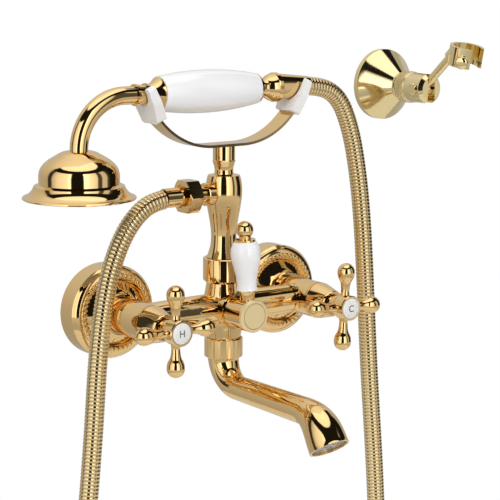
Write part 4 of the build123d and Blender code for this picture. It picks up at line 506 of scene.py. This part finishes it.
def ring_tree():
    """Rounded studs repeated around a circle in the XY plane."""
    tree, enter, leave = new_tree("ring_of_studs", (
        ("Count", "NodeSocketInt"), ("Circle Radius", "NodeSocketFloat"),
        ("Stud Size", "NodeSocketVector"), ("Stud Turn", "NodeSocketFloat"),
        ("Material", "NodeSocketMaterial")))
    circle = tree.nodes.new("GeometryNodeMeshCircle")
    tree.links.new(enter.outputs["Count"], circle.inputs["Vertices"])
    tree.links.new(enter.outputs["Circle Radius"], circle.inputs["Radius"])
    stud = tree.nodes.new("GeometryNodeMeshUVSphere")
    stud.inputs["Segments"].default_value = 10
    stud.inputs["Rings"].default_value = 6
    stud.inputs["Radius"].default_value = 1.0
    smooth = tree.nodes.new("GeometryNodeSetShadeSmooth")
    tree.links.new(stud.outputs["Mesh"], smooth.inputs["Geometry"])
    place = tree.nodes.new("GeometryNodeInputPosition")
    align = tree.nodes.new("FunctionNodeAlignEulerToVector")
    align.axis = "X"
    tree.links.new(place.outputs["Position"], align.inputs["Vector"])
    turn = tree.nodes.new("FunctionNodeRotateEuler")
    turn.space = "LOCAL"
    join = tree.nodes.new("ShaderNodeCombineXYZ")
    tree.links.new(enter.outputs["Stud Turn"], join.inputs["Z"])
    tree.links.new(align.outputs["Rotation"], turn.inputs["Rotation"])
    tree.links.new(join.outputs["Vector"], turn.inputs["Rotate By"])
    lay = tree.nodes.new("GeometryNodeInstanceOnPoints")
    tree.links.new(circle.outputs["Mesh"], lay.inputs["Points"])
    tree.links.new(smooth.outputs["Geometry"], lay.inputs["Instance"])
    tree.links.new(turn.outputs["Rotation"], lay.inputs["Rotation"])
    tree.links.new(enter.outputs["Stud Size"], lay.inputs["Scale"])
    end_tree(tree, lay.outputs["Instances"], enter, leave)
    return tree


def hose_tree():
    """A round tube along a curve, with ribs at an even pitch."""
    tree, enter, leave = new_tree("ribbed_hose", (
        ("Line", "NodeSocketObject"), ("Radius", "NodeSocketFloat"),
        ("Rib Pitch", "NodeSocketFloat"), ("Rib Depth", "NodeSocketFloat"),
        ("Sides", "NodeSocketInt"), ("Material", "NodeSocketMaterial")))
    nodes, links = tree.nodes, tree.links

    def maths(operation, first, second=None):
        node = nodes.new("ShaderNodeMath")
        node.operation = operation
        for index, value in enumerate((first, second)):
            if value is None:
                continue
            if isinstance(value, (int, float)):
                node.inputs[index].default_value = value
            else:
                links.new(value, node.inputs[index])
        return node.outputs["Value"]

    line = nodes.new("GeometryNodeObjectInfo")
    links.new(enter.outputs["Line"], line.inputs["Object"])
    even = nodes.new("GeometryNodeResampleCurve")
    even.mode = "LENGTH"
    links.new(line.outputs["Geometry"], even.inputs["Curve"])
    links.new(maths("DIVIDE", enter.outputs["Rib Pitch"], SAMPLES_PER_RIB), even.inputs["Length"])
    along = nodes.new("GeometryNodeSplineParameter")
    whole = nodes.new("GeometryNodeSplineLength")
    share = maths("FRACT", maths("DIVIDE", along.outputs["Length"], enter.outputs["Rib Pitch"]))
    swell = maths("POWER", maths("SINE", maths("MULTIPLY", share, math.pi)), RIB_FLATNESS)
    from_end = maths("MINIMUM", along.outputs["Length"],
                     maths("SUBTRACT", whole.outputs["Length"], along.outputs["Length"]))
    ribbed = maths("GREATER_THAN", from_end, HOSE_PLAIN_END)
    height = maths("MULTIPLY", swell, ribbed)
    drop = maths("MULTIPLY", enter.outputs["Rib Depth"], maths("SUBTRACT", 1.0, height))
    end_drop = maths("MULTIPLY", maths("SUBTRACT", 1.0, ribbed), HOSE_END_INSET)
    radius = maths("SUBTRACT", maths("SUBTRACT", enter.outputs["Radius"], drop), end_drop)
    keep = nodes.new("GeometryNodeStoreNamedAttribute")
    keep.data_type = "FLOAT"
    keep.domain = "POINT"
    keep.inputs["Name"].default_value = "rib_height"
    links.new(even.outputs["Curve"], keep.inputs["Geometry"])
    links.new(height, keep.inputs["Value"])
    section = nodes.new("GeometryNodeCurvePrimitiveCircle")
    links.new(enter.outputs["Sides"], section.inputs["Resolution"])
    section.inputs["Radius"].default_value = 1.0
    tube = nodes.new("GeometryNodeCurveToMesh")
    tube.inputs["Fill Caps"].default_value = True
    links.new(keep.outputs["Geometry"], tube.inputs["Curve"])
    links.new(radius, tube.inputs["Scale"])
    links.new(section.outputs["Curve"], tube.inputs["Profile Curve"])
    end_tree(tree, tube.outputs["Mesh"], enter, leave)
    return tree


def line_points(curve_object):
    """Points along a curve object that has no thickness."""
    mesh = bpy.data.meshes.new_from_object(curve_object)
    points = [tuple(v.co) for v in mesh.vertices]
    bpy.data.meshes.remove(mesh)
    return points


def placed(point):
    """A move to a point given in millimetres."""
    return Matrix.Translation(Vector(point) * MM)


class MIXER_OT_finishes(bpy.types.Operator):
    """Build the materials and dress every metal, porcelain and plastic part"""
    bl_idname = "mixer.finishes"
    bl_label = "Dress the Parts"

    def execute(self, context):
        MATERIALS.update(make_materials())
        for node in GOLD_NODES:
            skin_of(node, "polished_gold")
        for node in BRACKET_NODES:
            skin_of(node, "bracket_gold")
        for node, material in OTHER_NODES.items():
            skin_of(node, material)
        return {"FINISHED"}


class MIXER_OT_hose(bpy.types.Operator):
    """Lay the ribbed hose from the handset's cone nut round to the riser's outlet"""
    bl_idname = "mixer.hose"
    bl_label = "Lay the Hose"

    def execute(self, context):
        sizes = settings()[1]
        curve = bpy.data.curves.new("hose_line", "CURVE")
        curve.dimensions = "3D"
        curve.resolution_u = 24
        spline = curve.splines.new("NURBS")
        spline.points.add(len(HOSE_POINTS) - 1)
        for point, (x, z) in zip(spline.points, HOSE_POINTS):
            point.co = (x * MM, HOSE_Y * MM, z * MM, 1)
        spline.order_u = 3
        spline.use_endpoint_u = True
        line = bpy.data.objects.new("hose_line", curve)
        context.scene.collection.objects.link(line)
        context.view_layer.update()
        points = line_points(line)
        mesh = grow("shower_hose_tube", hose_tree(), {
            "Line": line, "Radius": sizes.diameter / 2, "Rib Pitch": sizes.rib_pitch,
            "Rib Depth": sizes.rib_depth, "Sides": sizes.sides,
            "Material": MATERIALS["ribbed_gold"]})
        bpy.data.objects.remove(line)
        bpy.data.curves.remove(curve)
        mesh.shade_smooth()
        hose = add_object("shower_hose_tube", mesh, "ribbed_gold")
        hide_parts("shower_hose")
        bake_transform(hose)
        return {"FINISHED"}


class MIXER_OT_trim(bpy.types.Operator):
    """Add the beads, the knurls, the line on the diverter's disc and the spray nozzles"""
    bl_idname = "mixer.trim"
    bl_label = "Add the Trim"

    def execute(self, context):
        trim = settings()[2]
        tree = ring_tree()
        face_wall = Matrix.Rotation(math.radians(90), 4, "X")

        def ring(name, material, body, count, circle, size, placing, turn=0.0):
            mesh = grow(name, tree, {
                "Count": count, "Circle Radius": circle * MM,
                "Stud Size": tuple(width * MM for width in size), "Stud Turn": turn,
                "Material": MATERIALS[material]})
            mesh.transform(placing)
            add_object(name, mesh, material, body)

        bead = trim.bead_radius / MM
        for side, x in VALVES.items():
            ring(side + "_flange_beads_1", "polished_gold", "mixer",
                 trim.bead_count, BEAD_CIRCLE, [share * bead for share in BEAD_SHAPE],
                 placed((x, -BEAD_DEPTH, 0)) @ face_wall, BEAD_TURN)
        ring("bracket_nut_knurls", "knurled_gold", "mixer",
             trim.knurl_count, KNURL_CIRCLE, KNURL_SIZE, placed(KNURL_PLACE) @ face_wall)
        ring("diverter_disc_line", "raw_brass", "diverter",
             DISC_LINE_COUNT, DISC_LINE_CIRCLE, DISC_LINE_SIZE,
             placed(DISC_LINE_PLACE) @ face_wall)
        for number, (circle, count) in enumerate(NOZZLE_RINGS, 1):
            ring(f"spray_nozzles_{number}", "black_rubber", "handset",
                 count, circle, NOZZLE_SIZE, placed(NOZZLE_PLACE))
        return {"FINISHED"}


class MIXER_OT_letters(bpy.types.Operator):
    """Put the hot and cold letters on the handles' index discs"""
    bl_idname = "mixer.letters"
    bl_label = "Mark Hot and Cold"

    def execute(self, context):
        trim = settings()[2]
        face_room = Matrix.Rotation(math.radians(90), 4, "X")
        for side, x in VALVES.items():
            curve = bpy.data.curves.new(side + "_letter", "FONT")
            curve.body = side[0].upper()
            curve.size = trim.letter_height * FONT_SIZE_SHARE
            curve.align_x = "CENTER"
            curve.align_y = "CENTER"
            curve.extrude = LETTER_RELIEF * MM
            words = bpy.data.objects.new(side + "_letter", curve)
            context.scene.collection.objects.link(words)
            context.view_layer.update()
            mesh = bpy.data.meshes.new_from_object(
                words.evaluated_get(context.evaluated_depsgraph_get()))
            bpy.data.objects.remove(words)
            bpy.data.curves.remove(curve)
            middle = sum((v.co for v in mesh.vertices), Vector()) / len(mesh.vertices)
            turn = Matrix.Rotation(math.radians(LETTER_TURNS[side]), 4, "Y")
            mesh.transform(placed((x, -LETTER_DEPTH, 0)) @ turn @ face_room
                           @ Matrix.Translation((0, -middle.y, 0)))
            add_object(side + "_letter", mesh, "letter_ink", side + "_valve")
        return {"FINISHED"}


class MIXER_OT_studio(bpy.types.Operator):
    """Set up the pale floor, the soft lights, the surroundings and the camera"""
    bl_idname = "mixer.studio"
    bl_label = "Set Up the Studio"

    def execute(self, context):
        studio = settings()[3]
        scene = context.scene
        scene.view_settings.view_transform = "Standard"
        mesh = bpy.data.meshes.new("pale_floor")
        shape = bmesh.new()
        bmesh.ops.create_circle(shape, cap_ends=True, segments=96, radius=studio.floor_radius)
        shape.to_mesh(mesh)
        shape.free()
        mesh.transform(Matrix.Translation((0, FLOOR_MIDDLE, -studio.floor_drop)))
        floor = bpy.data.objects.new("pale_floor", mesh)
        scene.collection.objects.link(floor)
        mesh.materials.append(worn_material(
            "studio_floor", colour=(0.86, 0.86, 0.85), patch=(0.84, 0.84, 0.83), smooth=0.7,
            rough=0.8, patch_scale=4))
        self.surroundings(scene)
        self.lamp("key_softbox", KEY_PLACE, KEY_WIDTH, studio.key_power)
        self.lamp("fill_softbox", FILL_PLACE, FILL_WIDTH, studio.fill_power)
        self.camera(scene)
        return {"FINISHED"}

    def lamp(self, name, place, size, power):
        """A square lamp that lights the object without showing in its reflections."""
        light = bpy.data.lights.new(name, "AREA")
        light.shape = "SQUARE"
        light.size = size
        light.energy = power
        lamp = bpy.data.objects.new(name, light)
        bpy.context.scene.collection.objects.link(lamp)
        towards = Vector(LAMP_TARGET) - Vector(place)
        lamp.matrix_world = Matrix.Translation(place) @ towards.to_track_quat(
            "-Z", "Y").to_matrix().to_4x4()
        lamp.visible_camera = False
        lamp.visible_glossy = False

    def surroundings(self, scene):
        """White to the camera; mirrored, bright boxes, dark gaps and a bright ceiling."""
        world = bpy.data.worlds.new("studio_room")
        scene.world = world
        world.use_nodes = True
        tree = world.node_tree
        nodes, links = tree.nodes, tree.links
        sky = nodes["Background"]
        room = nodes.new("ShaderNodeTexCoord")
        split = nodes.new("ShaderNodeSeparateXYZ")
        links.new(room.outputs["Generated"], split.inputs["Vector"])

        def share(socket, low, high):
            node = nodes.new("ShaderNodeMapRange")
            node.inputs["From Min"].default_value = low
            node.inputs["From Max"].default_value = high
            links.new(socket, node.inputs["Value"])
            return node.outputs["Result"]

        def reach(way):
            node = nodes.new("ShaderNodeVectorMath")
            node.operation = "DOT_PRODUCT"
            node.inputs[1].default_value = way
            links.new(room.outputs["Generated"], node.inputs[0])
            return node.outputs["Value"]

        def steps(socket, stops):
            node = nodes.new("ShaderNodeValToRGB")
            links.new(socket, node.inputs["Fac"])
            self.ramp(node, stops)
            return node.outputs["Color"]

        def blend(factor, first, second):
            node = nodes.new("ShaderNodeMix")
            node.data_type = "RGBA"
            links.new(factor, node.inputs["Factor"])
            links.new(first, node.inputs["A"])
            links.new(second, node.inputs["B"])
            return node.outputs["Result"]

        around = nodes.new("ShaderNodeMath")
        around.operation = "ARCTAN2"
        links.new(reach(RIGHT_OF_CAMERA), around.inputs[0])
        links.new(reach(TOWARDS_CAMERA), around.inputs[1])
        turn = share(around.outputs["Value"], -math.pi, math.pi)
        rise = share(split.outputs["Z"], -1, 1)
        in_front = blend(steps(rise, ROOM_BAND), steps(rise, ROOM_LEVELS), steps(turn, ROOM_SIDES))
        light = blend(steps(turn, ROOM_AHEAD), steps(rise, ROOM_BACKDROP), in_front)
        tint = nodes.new("ShaderNodeMix")
        tint.data_type = "RGBA"
        tint.inputs["A"].default_value = (0, 0, 0, 1)
        tint.inputs["B"].default_value = ROOM_TINT
        links.new(light, tint.inputs["Factor"])
        rays = nodes.new("ShaderNodeLightPath")
        seen = nodes.new("ShaderNodeMix")
        seen.data_type = "RGBA"
        seen.inputs["B"].default_value = (1, 1, 1, 1)
        links.new(rays.outputs["Is Camera Ray"], seen.inputs["Factor"])
        links.new(tint.outputs["Result"], seen.inputs["A"])
        links.new(seen.outputs["Result"], sky.inputs["Color"])
        gain = nodes.new("ShaderNodeMix")
        gain.data_type = "FLOAT"
        gain.inputs["A"].default_value = ROOM_STRENGTH
        gain.inputs["B"].default_value = 1.0
        links.new(rays.outputs["Is Camera Ray"], gain.inputs["Factor"])
        links.new(gain.outputs["Result"], sky.inputs["Strength"])

    def ramp(self, node, stops):
        """Sets the stops of a colour ramp, all grey."""
        steps = node.color_ramp.elements
        while len(steps) > 1:
            steps.remove(steps[-1])
        steps[0].position = stops[0][0]
        steps[0].color = (stops[0][1],) * 3 + (1,)
        for place, value in stops[1:]:
            step = steps.new(place)
            step.color = (value, value, value, 1)

    def camera(self, scene):
        """A camera of long focal length at the left front of the object."""
        data = bpy.data.cameras.new("photo_camera")
        data.sensor_width = 36
        data.lens = CAMERA_LENS
        data.clip_start = 0.05
        data.clip_end = 20
        camera = bpy.data.objects.new("photo_camera", data)
        scene.collection.objects.link(camera)
        turned = Matrix(CAMERA_AXES).transposed().to_4x4()
        camera.matrix_world = Matrix.Translation(CAMERA_PLACE) @ turned
        scene.camera = camera


class MIXER_PT_panel(bpy.types.Panel):
    bl_idname = "MIXER_PT_panel"
    bl_label = "Bath Shower Mixer"
    bl_space_type = "VIEW_3D"
    bl_region_type = "UI"
    bl_category = "Mixer"

    def draw(self, context):
        for operator in OPERATORS:
            self.layout.operator(operator.bl_idname)
        for group in settings():
            for name in group.bl_rna.properties.keys():
                if name not in ("rna_type", "name"):
                    self.layout.prop(group, name)


OPERATORS = (MIXER_OT_finishes, MIXER_OT_hose, MIXER_OT_trim, MIXER_OT_letters, MIXER_OT_studio)
CLASSES = (MixerFinishes, MixerHose, MixerTrim, MixerStudio) + OPERATORS + (MIXER_PT_panel,)


def register():
    for item in CLASSES:
        bpy.utils.register_class(item)
    bpy.types.Scene.mixer_finishes = PointerProperty(type=MixerFinishes)
    bpy.types.Scene.mixer_hose = PointerProperty(type=MixerHose)
    bpy.types.Scene.mixer_trim = PointerProperty(type=MixerTrim)
    bpy.types.Scene.mixer_studio = PointerProperty(type=MixerStudio)


def unregister():
    for name in ("mixer_finishes", "mixer_hose", "mixer_trim", "mixer_studio"):
        delattr(bpy.types.Scene, name)
    for item in reversed(CLASSES):
        bpy.utils.unregister_class(item)


def main():
    register()
    for name in ("studio", "finishes", "hose", "trim", "letters"):
        getattr(bpy.ops.mixer, name)()


if __name__ == "__main__":
    main()
